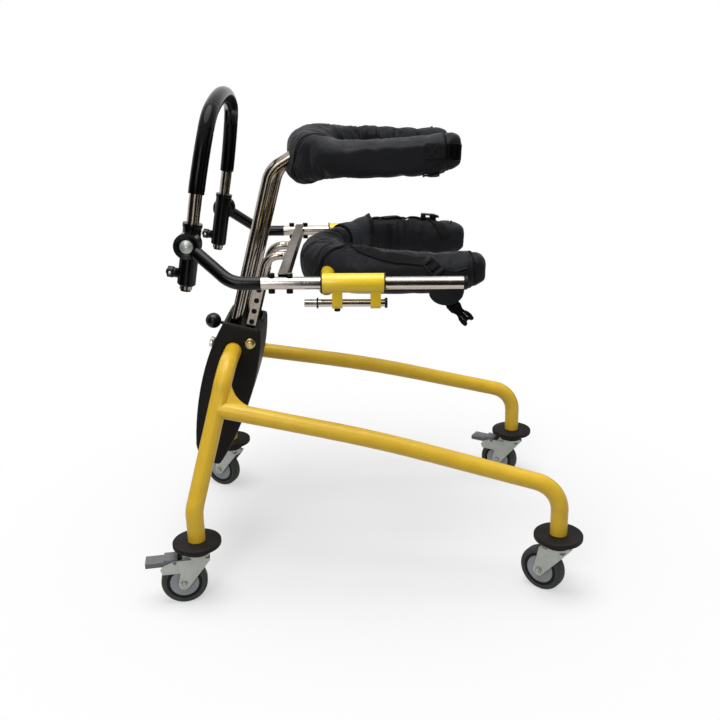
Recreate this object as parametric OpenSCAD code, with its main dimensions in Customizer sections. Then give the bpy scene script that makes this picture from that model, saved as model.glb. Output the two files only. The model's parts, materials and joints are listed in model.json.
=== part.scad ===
// Gait trainer: a four-castor walking frame with a leaning column at the front,
// a padded chest ring, a padded pelvic ring on sliding clamps and a tilting handlebar.
// +X is the walking direction, +Y the user's left, +Z up, and the floor is Z = 0.

/* [Base frame] */
// Distance between the front and rear castor stems
castor_span = 781; // [740:1:820]
// Distance between the two front castor stems
front_track = 552; // [530:1:580]
// Distance between the two rear castor stems
rear_track = 580; // [560:1:620]
// Outside diameter of the frame tubes
frame_tube_d = 38; // [34:0.5:40]
// Outside diameter of the beams, which are welded into the legs
beam_tube_d = 37; // [33:0.5:37.5]
// Wall of the frame tubes
frame_wall = 2.5; // [2:0.1:4]
// Height of the bend at the foot of each leg
knee_z = 215; // [205:1:240]
// Bend radius at the foot of each leg
knee_r = 70; // [55:1:90]
// Forward place of the leg tops, where they enter the column
leg_top_x = 311; // [306:1:316]
// Height of the leg tops
leg_top_z = 511; // [504:1:516]
// How far the leg tops stand outside the column before they turn inward
leg_top_out = 118; // [105:1:125]
// Bend radius at the leg tops
leg_top_r = 60; // [50:1:70]
// Height of the beam where it turns down to the rear castor
beam_rear_z = 254; // [240:1:275]
// Bend radius where the beam turns down
beam_rear_r = 70; // [50:1:85]
// Bend radius of the gentle arch of the beam
beam_arch_r = 3000; // [2000:50:3600]
// Reach of the web between leg and beam
gusset_reach = 78; // [60:1:95]
// Thickness of that web
gusset_t = 10; // [6:0.5:12]

/* [Castors] */
// Wheel diameter
wheel_d = 100; // [90:1:110]
// Width of the tyre
tyre_w = 30; // [26:0.5:33]
// Diameter of the hub disc
hub_d = 62; // [54:1:70]
// Axle diameter
axle_d = 8; // [6:0.5:10]
// Distance from the stem back to the axle
castor_trail = 34; // [30:0.5:40]
// Stem diameter
stem_d = 12; // [10:0.5:14]
// Gap between the fork legs
fork_gap = 36; // [36:0.5:40]
// Thickness of the fork plate
fork_plate = 3; // [2:0.1:4]
// Bumper disc diameter
bumper_d = 105; // [90:1:120]
// Bumper disc thickness
bumper_t = 12; // [8:0.5:16]
// Swivel angle of the front left castor
front_left_swivel = 9; // [-20:1:20]
// Swivel angle of the front right castor
front_right_swivel = -26; // [-30:1:30]
// Swivel angle of the rear left castor
rear_left_swivel = -42; // [-60:1:40]
// Swivel angle of the rear right castor
rear_right_swivel = -32; // [-40:1:40]

/* [Column] */
// Backward lean of the chest and pelvic masts
mast_lean = 16; // [15:0.5:17]
// Width of the column cover
cover_w = 170; // [166:1:180]
// Wall of the column cover
cover_wall = 4; // [3:0.5:5]
// Height of the front corner of the cover's top
cover_top_z = 579; // [575:1:584]
// Width of the guide block inside the cover
block_w = 152; // [150:0.5:155]
// Length of the guide block along the masts
block_h = 170; // [150:1:180]
// Ball knob diameter
knob_d = 36; // [30:0.5:40]

/* [Chest support] */
// Outside diameter of the chrome tubes
chrome_tube_d = 25; // [24:0.1:26]
// Wall of the chrome tubes
chrome_wall = 2; // [1.5:0.1:3]
// Distance between the two chest tubes across the column
chest_tube_gap = 86; // [80:0.5:88]
// How much further back the right chest tube stands
chest_tube_stagger = 12; // [8:0.5:12]
// Length of the chest tubes above the cover, up to their bend
chest_rise = 345; // [320:1:380]
// Width over the chest pad
chest_pad_w = 316; // [290:1:340]
// Width of the space inside the chest pad
chest_space_w = 200; // [180:1:220]
// Height of the chest pad
chest_pad_h = 86; // [70:1:95]
// Length of the chest pad from its front to the ends of its arms
chest_pad_len = 362; // [340:1:400]

/* [Pelvic support] */
// Distance between the two pelvic side tubes
rail_track = 592; // [580:1:606]
// Length of the side tubes
rail_len = 392; // [370:1:420]
// Height of the side tubes at their front end
rail_z = 714; // [706:1:722]
// Downward slope of the side tubes towards the rear
rail_tilt = 1.3; // [0:0.1:2]
// Width of the square hole bars
bar_w = 20; // [18:0.5:21]
// Distance between the two hole bars
bar_gap = 116; // [114:0.5:118]
// Spacing of the adjusting holes
hole_step = 25; // [20:0.5:30]
// Length of the clamps that slide on the side tubes
clamp_len = 120; // [110:1:130]
// Outside diameter of the clamps
clamp_d = 38; // [37:0.5:42]
// Diameter of the rod below each clamp
rod_d = 15; // [12:0.5:16]
// Width over the pelvic pad
pelvic_pad_w = 430; // [415:1:440]
// Width of the space inside the pelvic pad
pelvic_space_w = 280; // [260:1:300]
// Height of the pelvic pad
pelvic_pad_h = 84; // [75:1:90]
// Length of the pelvic pad from its front to the ends of its arms
pelvic_pad_len = 390; // [370:1:410]

/* [Handlebar] */
// Backward lean of the handlebar
handle_lean = 11; // [8:0.5:14]
// Distance between the two handlebar sleeves
handle_track = 440; // [430:1:450]
// Outside diameter of the sleeves
sleeve_d = 37; // [36:0.5:40]
// Length of the sleeves
sleeve_len = 127; // [118:1:140]
// Diameter of the tilting joints
joint_d = 52; // [44:1:56]
// Outside diameter of the grip
grip_d = 32; // [30:0.5:36]
// Diameter of the bent arms
arm_d = 26; // [25:0.5:30]
// Bend radius of the handlebar's shoulders
shoulder_r = 350; // [300:5:400]
// Bend radius of the handlebar's corners
corner_r = 75; // [65:1:90]

/* [Hidden] */
$fn = 64;

// Colours
frame_yellow = [0.86, 0.68, 0.16];
clamp_yellow = [0.90, 0.80, 0.20];
satin_black = [0.12, 0.12, 0.13];
pad_black = [0.17, 0.17, 0.19];
bumper_brown = [0.19, 0.17, 0.16];
chrome = [0.80, 0.79, 0.77];
zinc = [0.62, 0.63, 0.60];
tyre_grey = [0.33, 0.35, 0.33];
hub_grey = [0.66, 0.67, 0.70];
pedal_grey = [0.43, 0.43, 0.44];

// Clearances: a running fit, faces that pass each other, and the overrun of cuts
running_gap = 0.05;
face_gap = 0.3;
overrun = 2;

// The box over the whole part is centred on these places
middle_x = 30.88;
middle_y = -10.9;

// Vectors, and rods with bends. A bend is a little thicker than the rods that run into it.
bend_swell = 0.6;
bend_lap = 1;
function unit(v) = v / norm(v);
function flip(p) = [p[0], -p[1], p[2]];
function turn_at(points, i) = acos(unit(points[i] - points[i - 1]) * unit(points[i + 1] - points[i]));
function reach_at(points, radii, i) = radii[i - 1] * tan(turn_at(points, i) / 2);
function side_before(points, i) =
    let (u = unit(points[i] - points[i - 1]), w = unit(points[i + 1] - points[i])) unit(w - u * (u * w));
function side_after(points, i) =
    let (u = unit(points[i] - points[i - 1]), w = unit(points[i + 1] - points[i])) unit(w * (u * w) - u);
// The seam of the round section runs on unbroken through the bends
function seam(points, i) =
    i == 1 ? let (side = side_before(points, 1)) unit(cross(side, unit(points[1] - points[0])) + side)
    : let (
        n = seam(points, i - 1),
        side = side_before(points, i - 1),
        up = cross(-side, unit(points[i - 1] - points[i - 2])))
        -side_after(points, i - 1) * (n * -side) + up * (n * up);
function stretched(points, start, end) = let (last = len(points) - 1) [
    for (i = [0 : last])
        i == 0 ? points[0] - unit(points[1] - points[0]) * start
        : i == last ? points[last] + unit(points[last] - points[last - 1]) * end
        : points[i]];

module in_frame(x, y, z, place) {
    multmatrix([
        [x[0], y[0], z[0], place[0]],
        [x[1], y[1], z[1], place[1]],
        [x[2], y[2], z[2], place[2]],
        [0, 0, 0, 1]])
        children();
}

module rod(a, b, d) {
    v = b - a;
    translate(a)
        rotate([0, acos(v[2] / norm(v)), atan2(v[1], v[0])])
            cylinder(h = norm(v), d = d);
}

module bend(points, i, r, d) {
    u = unit(points[i] - points[i - 1]);
    side = side_before(points, i);
    turn = turn_at(points, i);
    up = cross(-side, u);
    n = seam(points, i);
    in_frame(-side, u, up, points[i] - u * (r * tan(turn / 2)) + side * r)
        rotate_extrude(angle = turn)
            translate([r, 0])
                rotate(atan2(n * up, n * -side)) circle(d = d + bend_swell);
}

// A rod along points, with a bend of radii[i - 1] at each inner point i
module bent_rod(points, radii, d) {
    last = len(points) - 1;
    for (i = [1 : last]) {
        u = unit(points[i] - points[i - 1]);
        n = seam(points, i);
        a = points[i - 1] + u * (i == 1 ? 0 : reach_at(points, radii, i - 1) - bend_lap);
        b = points[i] - u * (i == last ? 0 : reach_at(points, radii, i) - bend_lap);
        in_frame(n, cross(u, n), u, a) cylinder(h = norm(b - a), d = d);
    }
    for (i = [1 : last - 1])
        bend(points, i, radii[i - 1], d);
}

module bent_tube(points, radii, d, wall) {
    difference() {
        bent_rod(points, radii, d);
        bent_rod(stretched(points, overrun, overrun), radii, d - 2 * wall);
    }
}

module both_sides() {
    children();
    mirror([0, 1, 0]) children();
}

module placed() {
    translate([-middle_x, -middle_y, 0]) children();
}

// Castor values
axle_z = wheel_d / 2;
crown_clear = 4;
crown_t = 5;
head_d = 50;
head_h = 9;
crown_z = wheel_d + crown_clear;
crown_top_z = crown_z + crown_t;
head_top_z = crown_top_z + head_h;
fork_w = fork_gap + 2 * fork_plate;
fork_foot_r = 12;
rivet_head_d = 13;
rivet_head_h = 3;
tyre_edge_r = 8;
hub_recess = 2;
hub_boss_d = 22;
flange_d = 58;
flange_h = 10;
plug_h = 32;
stem_h = 34;
foot_z = head_top_z + face_gap + flange_h;
collar_h = 6;
collar_d = 72;
bumper_rim = 2.5;
bumper_z = foot_z + collar_h;
pedal_pin_d = 6;
pedal_pin_ahead = 16;
pedal_pin_share = 0.56;
pedal_pin_z = axle_z + wheel_d * pedal_pin_share;
ear_reach = 48;
ear_drop = 15;
ear_foot_drop = 27;
ear_top_share = 0.85;
ear_foot_share = 0.9;
pedal_len = 79;
pedal_lever_t = 10;
pedal_pad_len = 46;
pedal_pad_t = 11;
pedal_side_gap = 1;
pedal_wheel_gap = 2;

half_span = castor_span / 2;
stems = [
    [half_span, front_track / 2, 0],
    [half_span, -front_track / 2, 0],
    [-half_span, rear_track / 2, 0],
    [-half_span, -rear_track / 2, 0]];
swivels = [front_left_swivel, front_right_swivel, rear_left_swivel, rear_right_swivel];

// Frame values
frame_bore = frame_tube_d - 2 * frame_wall;
beam_bore = beam_tube_d - 2 * frame_wall;
leg_ds = [frame_tube_d, frame_tube_d, beam_tube_d, beam_tube_d];
leg_inner_y = block_w / 2;
leg_top_y = leg_inner_y + leg_top_out;
knee = stems[0] + [0, 0, knee_z];
leg_top = [leg_top_x, leg_top_y, leg_top_z];
leg_path = [stems[0] + [0, 0, foot_z], knee, leg_top, [leg_top_x, leg_inner_y, leg_top_z]];
leg_radii = [knee_r, leg_top_r];
joint_share = 0.71;
arch_share = 0.47;
arch_lift = 14;
beam_start = knee + (leg_top - knee) * joint_share;
beam_corner = stems[2] + [0, 0, beam_rear_z];
beam_middle = beam_start + (beam_corner - beam_start) * arch_share + [0, 0, arch_lift];
beam_path = [beam_start, beam_middle, beam_corner, stems[2] + [0, 0, foot_z]];
beam_radii = [beam_arch_r, beam_rear_r];
gusset_bite = 2;

// Column values, in the frame of the leaning masts
mast_x = 304.6;
mast_drop = 7;
mast_z = cover_top_z - mast_drop;
chest_tube_y = chest_tube_gap / 2;
bar_x = -36;
bar_y = bar_gap / 2;
block_front = 21;
block_back = 59;
block_top = -14;
cover_rear_x = 246;
cover_tip_z = 232;
cover_split_gap = 0.2;
cover_bolt_x = -44.4;
cover_bolt_z = -33;
cover_bolt_d = 8;
cover_bolt_head_d = 22;
cover_bolt_head_h = 8;
cover_bolt_depth = 6;
front_bolt_z = -79;
front_bolt_x = 41;
front_bolt_d = 8;
front_bolt_head_d = 16;
front_bolt_head_h = 9;
front_bolt_depth = 14;
knob_x = 53.7;
knob_z = -27.5;
knob_pin_d = 8;
knob_pin_depth = 16;
mouth_front = 16;
mouth_back = 50;
mouth_w = 148;
mouth_depth = 60;
mouth_foot = 16;

module on_mast() {
    translate([mast_x, 0, mast_z]) rotate([0, -mast_lean, 0]) children();
}

// Bezier curves for the cover's side outline
function bezier(a, b, c, d, t) =
    a * pow(1 - t, 3) + b * (3 * t * pow(1 - t, 2)) + c * (3 * t * t * (1 - t)) + d * pow(t, 3);
outline_steps = 12;
cover_len = 168;
cover_h = cover_top_z - cover_tip_z;
front_shares = [[0.476, 1], [0.786, 0.787], [0.964, 0.455], [1, 0.153]];
tip_shares = [[1, 0.153], [1, 0.06], [0.83, 0], [0.69, 0]];
rear_shares = [[0.69, 0], [0.452, 0.153], [0, 0.599], [0, 0.939]];
function cover_curve(shares, first) = [
    for (i = [first : outline_steps])
        let (s = bezier(shares[0], shares[1], shares[2], shares[3], i / outline_steps))
            [cover_rear_x + cover_len * s[0], cover_tip_z + cover_h * s[1]]];
cover_outline = concat(cover_curve(front_shares, 0), cover_curve(tip_shares, 1), cover_curve(rear_shares, 1));

// Outline drawn in by a wall, along the bisector at each corner
function inset(points, wall) = let (n = len(points)) [
    for (i = [0 : n - 1])
        let (
            u = unit(points[i] - points[(i + n - 1) % n]),
            w = unit(points[(i + 1) % n] - points[i]),
            m = unit(u + w))
            points[i] + [m[1], -m[0]] * (wall / (m * u))];

// Chest support values
chest_foot = 252;
chest_bend_r = 60;
chest_neck_rise = 30;
chest_neck_len = 84;
chest_pad_front = 172;
chest_pad_z = 933;
chest_front_t = 97;
chest_front_h = 110;
chest_end_lift = 6;
pad_end_r = 24;
strap_w = 25;
strap_t = 2;
strap_sink = 1;
chest_patch_len = 46;
chest_patch_h = 28;
chest_patch_back = 46;
chest_patch_lift = 9;
chest_buckle_len = 30;
chest_buckle_h = 34;
chest_buckle_t = 6;
lock_slot_shares = [0.3, 0.7];

// Pelvic support values, in the frame of the sloping side tubes
rail_x = 214;
rail_y = rail_track / 2;
chrome_bore = chrome_tube_d - 2 * chrome_wall;
bar_foot = 150;
bar_rise = 112;
bar_wall = 2;
hole_d = 10;
holes = 9;
hook_d = 19;
hook_r = 34;
hook_lift = 6;
crossbar_back = 42;
crossbar_w = 30;
crossbar_h = 22;
crossbar_wall = 2;
cap_len = 8;
cap_plug_len = 12;
bolt_shank_d = 6;
bolt_head_d = 13;
bolt_head_h = 7;
bolt_places = [20, 55];
clamp_place = 118;
clamp_bush_len = 18;
clamp_bush_wall = 3;
clamp_rim_t = 3;
clamp_rim_d = clamp_d + 2;
lug_d = 30;
lug_drop = 12;
lug_bite = 9.5;
lug_back = 8;
lug_sink = 14;
prong_len = 20;
prong_w = 22;
prong_places = [19, 94];
rod_drop = 40;
rod_front = 35;
rod_back = 2;
rod_ring_d = 21;
rod_ring_t = 3;
rod_ring_ahead = 8;
rod_cap_t = 5;
rod_cap_d = 20;
rod_nut_d = 12;
rod_nut_h = 6;
rod_nut_sink = 1;
pelvic_pad_front = 60;
pelvic_pad_drop = 8;
pelvic_front_t = 95;
pelvic_front_h = 98;
pelvic_front_drop = 4;
pelvic_end_lift = 7;
far_strap_middle = 240;
far_strap_r = 130;
far_strap_rise = 20;
far_strap_sink = 6;
ladder_len = 44;
ladder_h = 30;
ladder_t = 6;
ladder_place = 280;
ladder_lift = 20;
ladder_slope = 45;
ladder_sink = 3;
socket_len = 34;
socket_h = 16;
socket_place = 300;
socket_lift = 8;
socket_wall = 2.5;
socket_mouth_share = 0.72;
socket_window_shares = [0.3, 0.4];
plug_len = 58;
plug_w = 24;
plug_t = 9;
plug_slope = 44;
plug_place = 331;
plug_drop = 72;
plug_strap_len = 22;
plug_shares = [
    [0, 0], [1, 0], [1, -0.22], [0.9, -0.26], [0.9, -0.5], [1, -0.62], [1, -0.78], [0.86, -1], [0.72, -0.98],
    [0.76, -0.7], [0.68, -0.5], [0.58, -0.42], [0.58, -0.8], [0.42, -0.8], [0.42, -0.42], [0.32, -0.5], [0.24, -0.7],
    [0.28, -0.98], [0.14, -1], [0, -0.78], [0, -0.62], [0.1, -0.5], [0.1, -0.26], [0, -0.22]];

module on_rail() {
    translate([rail_x, 0, rail_z]) rotate([0, -rail_tilt, 0]) children();
}
function rail_point(x, y) = [rail_x + x * cos(rail_tilt), y, rail_z + x * sin(rail_tilt)];

// Handlebar values, in the frame of the leaning handle
pivot_x = 358;
pivot_z = 784;
sleeve_y = handle_track / 2;
sleeve_below = 88.5;
sleeve_chamfer = 3;
sleeve_collar_h = 7;
sleeve_collar_out = 1.2;
joint_rim_h = 2;
joint_rim_w = 5;
joint_t = 28;
joint_boss_t = 1;
joint_boss_in = 3;
screw_d = 10;
screw_bite = 5;
screw_head_d = 26;
screw_head_h = 7;
arm_spigot_len = 100;
arm_straight = 58;
arm_bend_r = 60;
arm_stop = 22;
plunger_z = -66;
plunger_barrel_d = 20;
plunger_barrel_len = 8;
plunger_pin_d = 6;
plunger_knob_d = 23;
plunger_knob_len = 13;
plunger_tip_d = 10;
plunger_tip_len = 3;
bar_end_out = 8;
shoulder_start = 64;
bar_straight = 6;
shoulder_turn = 25;
corner_turn = 45;
grip_turn = 6.3;
grip_collar = 6;
grip_gap = 0.15;
plug_lip = 4;

module on_handle() {
    translate([pivot_x, 0, pivot_z]) rotate([0, -handle_lean, 0]) children();
}

joint_face_y = sleeve_y + sleeve_d / 2 + joint_boss_t;
joint_in_y = joint_face_y + face_gap;
joint_out_y = joint_in_y + joint_t;
arm_top = [pivot_x, (joint_in_y + joint_out_y) / 2, pivot_z];
arm_path = [
    rail_point(face_gap, rail_y),
    rail_point(arm_straight, rail_y),
    arm_top - unit(arm_top - rail_point(arm_straight, rail_y)) * arm_stop];

shoulder_reach = shoulder_r * tan(shoulder_turn / 2);
corner_reach = corner_r * tan(corner_turn / 2);
shoulder_point = [0, sleeve_y, shoulder_start + shoulder_reach];
corner_point = shoulder_point
    + [0, -sin(shoulder_turn), cos(shoulder_turn)] * (shoulder_reach + bar_straight + corner_reach);
top_turn = shoulder_turn + corner_turn;
top_run = corner_point[1] / sin(top_turn);
top_point = corner_point + [0, -sin(top_turn), cos(top_turn)] * top_run;
top_r = (top_run - corner_reach - bar_straight) / tan(90 - top_turn);
bar_end = [0, sleeve_y, -sleeve_below - bar_end_out];
bar_path = [bar_end, shoulder_point, corner_point, top_point,
    flip(corner_point), flip(shoulder_point), flip(bar_end)];
bar_radii = [shoulder_r, corner_r, top_r, corner_r, shoulder_r];
grip_dir = [0, -sin(grip_turn), cos(grip_turn)];
grip_foot = [0, sleeve_y - shoulder_r * (1 - cos(grip_turn)), shoulder_start + shoulder_r * sin(grip_turn)];
grip_shoulder = grip_foot + grip_dir * (shoulder_r * tan((shoulder_turn - grip_turn) / 2));
grip_end = grip_foot - grip_dir * grip_collar;
grip_path = [grip_end, grip_shoulder, corner_point, top_point,
    flip(corner_point), flip(grip_shoulder), flip(grip_end)];

// Frame
module gusset() {
    e1 = unit(beam_middle - beam_start);
    leg_dir = unit(leg_top - knee);
    e2 = unit(leg_dir - e1 * (e1 * leg_dir));
    in_frame(e1, e2, cross(e1, e2), beam_start)
        translate([0, 0, -gusset_t / 2])
            linear_extrude(gusset_t)
                difference() {
                    square(gusset_reach);
                    translate([gusset_reach, gusset_reach])
                        circle(r = gusset_reach - frame_tube_d / 2 + gusset_bite);
                }
}

module left_frame() {
    color(frame_yellow)
        difference() {
            union() {
                bent_rod(leg_path, leg_radii, frame_tube_d);
                bent_rod(beam_path, beam_radii, beam_tube_d);
                gusset();
            }
            bent_rod(stretched(leg_path, overrun, overrun), leg_radii, frame_bore);
            bent_rod(stretched(beam_path, 0, overrun), beam_radii, beam_bore);
        }
}

module right_frame() {
    mirror([0, 1, 0]) left_frame();
}

module castor_sockets() {
    color(satin_black)
        for (i = [0 : 3])
            translate(stems[i] + [0, 0, head_top_z + face_gap])
                difference() {
                    union() {
                        cylinder(h = flange_h, d = flange_d);
                        cylinder(h = flange_h + plug_h, d = leg_ds[i] - 2 * frame_wall - 2 * running_gap);
                    }
                    translate([0, 0, -overrun])
                        cylinder(h = flange_h + plug_h + 2 * overrun, d = stem_d + 2 * running_gap);
                }
}

module bumpers() {
    color(bumper_brown)
        for (i = [0 : 3])
            translate(stems[i] + [0, 0, foot_z])
                difference() {
                    union() {
                        cylinder(h = collar_h, d = collar_d);
                        translate([0, 0, collar_h])
                            cylinder(h = bumper_rim, d1 = bumper_d - 2 * bumper_rim, d2 = bumper_d);
                        translate([0, 0, collar_h + bumper_rim])
                            cylinder(h = bumper_t - 3 * bumper_rim, d = bumper_d);
                        translate([0, 0, collar_h + bumper_t - 2 * bumper_rim])
                            cylinder(h = bumper_rim, d1 = bumper_d, d2 = bumper_d - 2 * bumper_rim);
                        translate([0, 0, collar_h + bumper_t - bumper_rim])
                            cylinder(h = bumper_rim, d1 = bumper_d - 2 * bumper_rim, d2 = collar_d);
                    }
                    translate([0, 0, -overrun])
                        cylinder(h = collar_h + bumper_t + 2 * overrun, d = leg_ds[i] + 2 * running_gap);
                }
}

// Castors, with the stem at the origin and the wheel trailing along +X
module castor(i) {
    translate(stems[i]) rotate([0, 0, swivels[i]]) children();
}

module fork_side(brake) {
    top = crown_top_z;
    axle_x = castor_trail;
    linear_extrude(fork_plate) {
        polygon([
            [-head_d / 2, top],
            [axle_x, top],
            [axle_x + fork_foot_r, axle_z],
            [axle_x - fork_foot_r * cos(45), axle_z - fork_foot_r * sin(45)],
            [-head_d / 2, crown_z]]);
        translate([axle_x, axle_z]) circle(r = fork_foot_r);
        if (brake)
            polygon([
                [axle_x - fork_foot_r, top],
                [axle_x + pedal_pin_ahead, top],
                [axle_x + ear_reach * ear_top_share, pedal_pin_z - pedal_pin_d],
                [axle_x + ear_reach, pedal_pin_z - ear_drop],
                [axle_x + ear_reach * ear_foot_share, pedal_pin_z - ear_foot_drop],
                [axle_x, pedal_pin_z - ear_foot_drop]]);
    }
}

module castor_fork(i, brake) {
    color(zinc)
        castor(i)
            difference() {
                union() {
                    for (y = [-fork_w / 2, fork_gap / 2])
                        translate([0, y + fork_plate, 0]) rotate([90, 0, 0]) fork_side(brake);
                    translate([-head_d / 2, -fork_w / 2, crown_z])
                        cube([head_d / 2 + castor_trail, fork_w, crown_t]);
                    translate([0, 0, crown_top_z]) cylinder(h = head_h, d = head_d);
                    translate([0, 0, crown_top_z]) cylinder(h = head_h + stem_h, d = stem_d);
                }
                translate([castor_trail, 0, axle_z])
                    rotate([90, 0, 0])
                        cylinder(h = fork_w + 2 * overrun, d = axle_d + 2 * running_gap, center = true);
                if (brake)
                    translate([castor_trail + pedal_pin_ahead, 0, pedal_pin_z])
                        rotate([90, 0, 0])
                            cylinder(h = fork_w + 2 * overrun, d = pedal_pin_d + 2 * running_gap, center = true);
            }
}

module castor_axle(i) {
    color(chrome)
        castor(i)
            translate([castor_trail, 0, axle_z])
                rotate([90, 0, 0]) {
                    cylinder(h = fork_w, d = axle_d, center = true);
                    for (m = [0, 1])
                        mirror([0, 0, m])
                            translate([0, 0, fork_w / 2]) cylinder(h = rivet_head_h, d = rivet_head_d);
                }
}

module castor_tyre(i) {
    color(tyre_grey)
        castor(i)
            translate([castor_trail, 0, axle_z])
                rotate([90, 0, 0])
                    difference() {
                        union() {
                            cylinder(h = tyre_w - 2 * tyre_edge_r, d = wheel_d, center = true);
                            cylinder(h = tyre_w, d = wheel_d - 2 * tyre_edge_r, center = true);
                            for (z = [-1, 1])
                                translate([0, 0, z * (tyre_w / 2 - tyre_edge_r)])
                                    rotate_extrude()
                                        translate([wheel_d / 2 - tyre_edge_r, 0]) circle(r = tyre_edge_r);
                        }
                        cylinder(h = tyre_w + 2 * overrun, d = hub_d, center = true);
                    }
}

module castor_hub(i) {
    color(hub_grey)
        castor(i)
            translate([castor_trail, 0, axle_z])
                rotate([90, 0, 0])
                    difference() {
                        union() {
                            cylinder(h = tyre_w - 2 * hub_recess, d = hub_d, center = true);
                            cylinder(h = fork_gap - 2 * face_gap, d = hub_boss_d, center = true);
                        }
                        cylinder(h = fork_gap + 2 * overrun, d = axle_d + 2 * running_gap, center = true);
                    }
}

module brake_pedal(i) {
    lever_w = fork_gap - 2 * pedal_side_gap;
    lever_z = wheel_d + pedal_wheel_gap - pedal_pin_z;
    color(pedal_grey)
        castor(i)
            translate([castor_trail + pedal_pin_ahead, 0, pedal_pin_z]) {
                rotate([90, 0, 0]) cylinder(h = fork_w + 2 * rivet_head_h, d = pedal_pin_d, center = true);
                translate([-pedal_pin_d, -lever_w / 2, lever_z])
                    cube([pedal_len - pedal_pin_ahead - pedal_pad_len + 2 * pedal_pin_d, lever_w, pedal_lever_t]);
                translate([pedal_len - pedal_pin_ahead - pedal_pad_len, -lever_w / 2, lever_z - pedal_pad_t / 2])
                    cube([pedal_pad_len, lever_w, pedal_pad_t]);
            }
}

// Column
module guide_block() {
    fit = 2 * face_gap;
    color(satin_black)
        difference() {
            union() {
                on_mast()
                    translate([-block_back, -block_w / 2, block_top - block_h])
                        cube([block_back + block_front, block_w, block_h]);
                rod([leg_top_x, -leg_inner_y - flange_h, leg_top_z], [leg_top_x, leg_inner_y + flange_h, leg_top_z],
                    frame_bore - 2 * running_gap);
            }
            on_mast() {
                for (t = [[0, chest_tube_y], [-chest_tube_stagger, -chest_tube_y]])
                    translate([t[0], t[1], block_top - block_h - overrun])
                        cylinder(h = block_h + 2 * overrun, d = chrome_tube_d + fit);
                both_sides()
                    translate([bar_x - (bar_w + fit) / 2, bar_y - (bar_w + fit) / 2, block_top - block_h - overrun])
                        cube([bar_w + fit, bar_w + fit, block_h + 2 * overrun]);
                both_sides()
                    translate([cover_bolt_x, block_w / 2 - cover_bolt_depth, cover_bolt_z])
                        rotate([-90, 0, 0])
                            cylinder(h = cover_bolt_depth + overrun, d = cover_bolt_d + 2 * running_gap);
                translate([block_front - front_bolt_depth, 0, front_bolt_z])
                    rotate([0, 90, 0])
                        cylinder(h = front_bolt_depth + overrun, d = front_bolt_d + 2 * running_gap);
                translate([block_front - knob_pin_depth - face_gap, 0, knob_z])
                    rotate([0, 90, 0])
                        cylinder(h = knob_pin_depth + face_gap + overrun, d = knob_pin_d + 2 * running_gap);
            }
        }
}

module cover_left() {
    half_w = cover_w / 2;
    color(satin_black)
        difference() {
            rotate([90, 0, 0])
                translate([0, 0, -half_w])
                    linear_extrude(half_w - cover_split_gap / 2) polygon(cover_outline);
            rotate([90, 0, 0])
                translate([0, 0, -half_w + cover_wall])
                    linear_extrude(half_w) polygon(inset(cover_outline, cover_wall));
            rod([leg_top_x, 0, leg_top_z], [leg_top_x, half_w + overrun, leg_top_z], frame_tube_d + 2 * face_gap);
            on_mast() {
                translate([-mouth_back, -overrun, -mouth_foot])
                    cube([mouth_back + mouth_front, mouth_w / 2 + overrun, mouth_depth]);
                translate([cover_bolt_x, 0, cover_bolt_z])
                    rotate([-90, 0, 0])
                        cylinder(h = half_w + overrun, d = cover_bolt_d + 2 * running_gap);
                translate([0, 0, front_bolt_z])
                    rotate([0, 90, 0])
                        cylinder(h = front_bolt_x + knob_d, d = front_bolt_d + 2 * running_gap);
                translate([0, 0, knob_z])
                    rotate([0, 90, 0])
                        cylinder(h = knob_x, d = knob_pin_d + 2 * face_gap);
            }
        }
}

module cover_right() {
    mirror([0, 1, 0]) cover_left();
}

module cover_bolts() {
    color(clamp_yellow)
        both_sides()
            on_mast()
                translate([cover_bolt_x, block_w / 2 - cover_bolt_depth + face_gap, cover_bolt_z])
                    rotate([-90, 0, 0]) {
                        shank = cover_w / 2 - block_w / 2 + cover_bolt_depth - face_gap;
                        cylinder(h = shank, d = cover_bolt_d);
                        translate([0, 0, shank]) cylinder(h = cover_bolt_head_h, d = cover_bolt_head_d);
                    }
}

module front_bolt() {
    color(chrome)
        on_mast()
            translate([block_front - front_bolt_depth + face_gap, 0, front_bolt_z])
                rotate([0, 90, 0]) {
                    shank = front_bolt_x - block_front + front_bolt_depth - face_gap;
                    cylinder(h = shank, d = front_bolt_d);
                    translate([0, 0, shank]) cylinder(h = front_bolt_head_h, d = front_bolt_head_d, $fn = 6);
                }
}

module ball_knob() {
    on_mast()
        translate([block_front - knob_pin_depth, 0, knob_z])
            rotate([0, 90, 0]) {
                color(chrome) cylinder(h = knob_x - block_front + knob_pin_depth, d = knob_pin_d);
                color(satin_black)
                    translate([0, 0, knob_x - block_front + knob_pin_depth]) sphere(d = knob_d);
            }
}

// Chest support
module chest_tube(place) {
    foot = [place[0], place[1], -chest_foot];
    corner = [place[0], place[1], chest_rise];
    neck_dir = [-cos(chest_neck_rise + mast_lean), 0, sin(chest_neck_rise + mast_lean)];
    bent_tube([foot, corner, corner + neck_dir * chest_neck_len], [chest_bend_r], chrome_tube_d, chrome_wall);
}

module chest_tubes() {
    color(chrome)
        on_mast() {
            chest_tube([0, chest_tube_y]);
            chest_tube([-chest_tube_stagger, -chest_tube_y]);
        }
}

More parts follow.
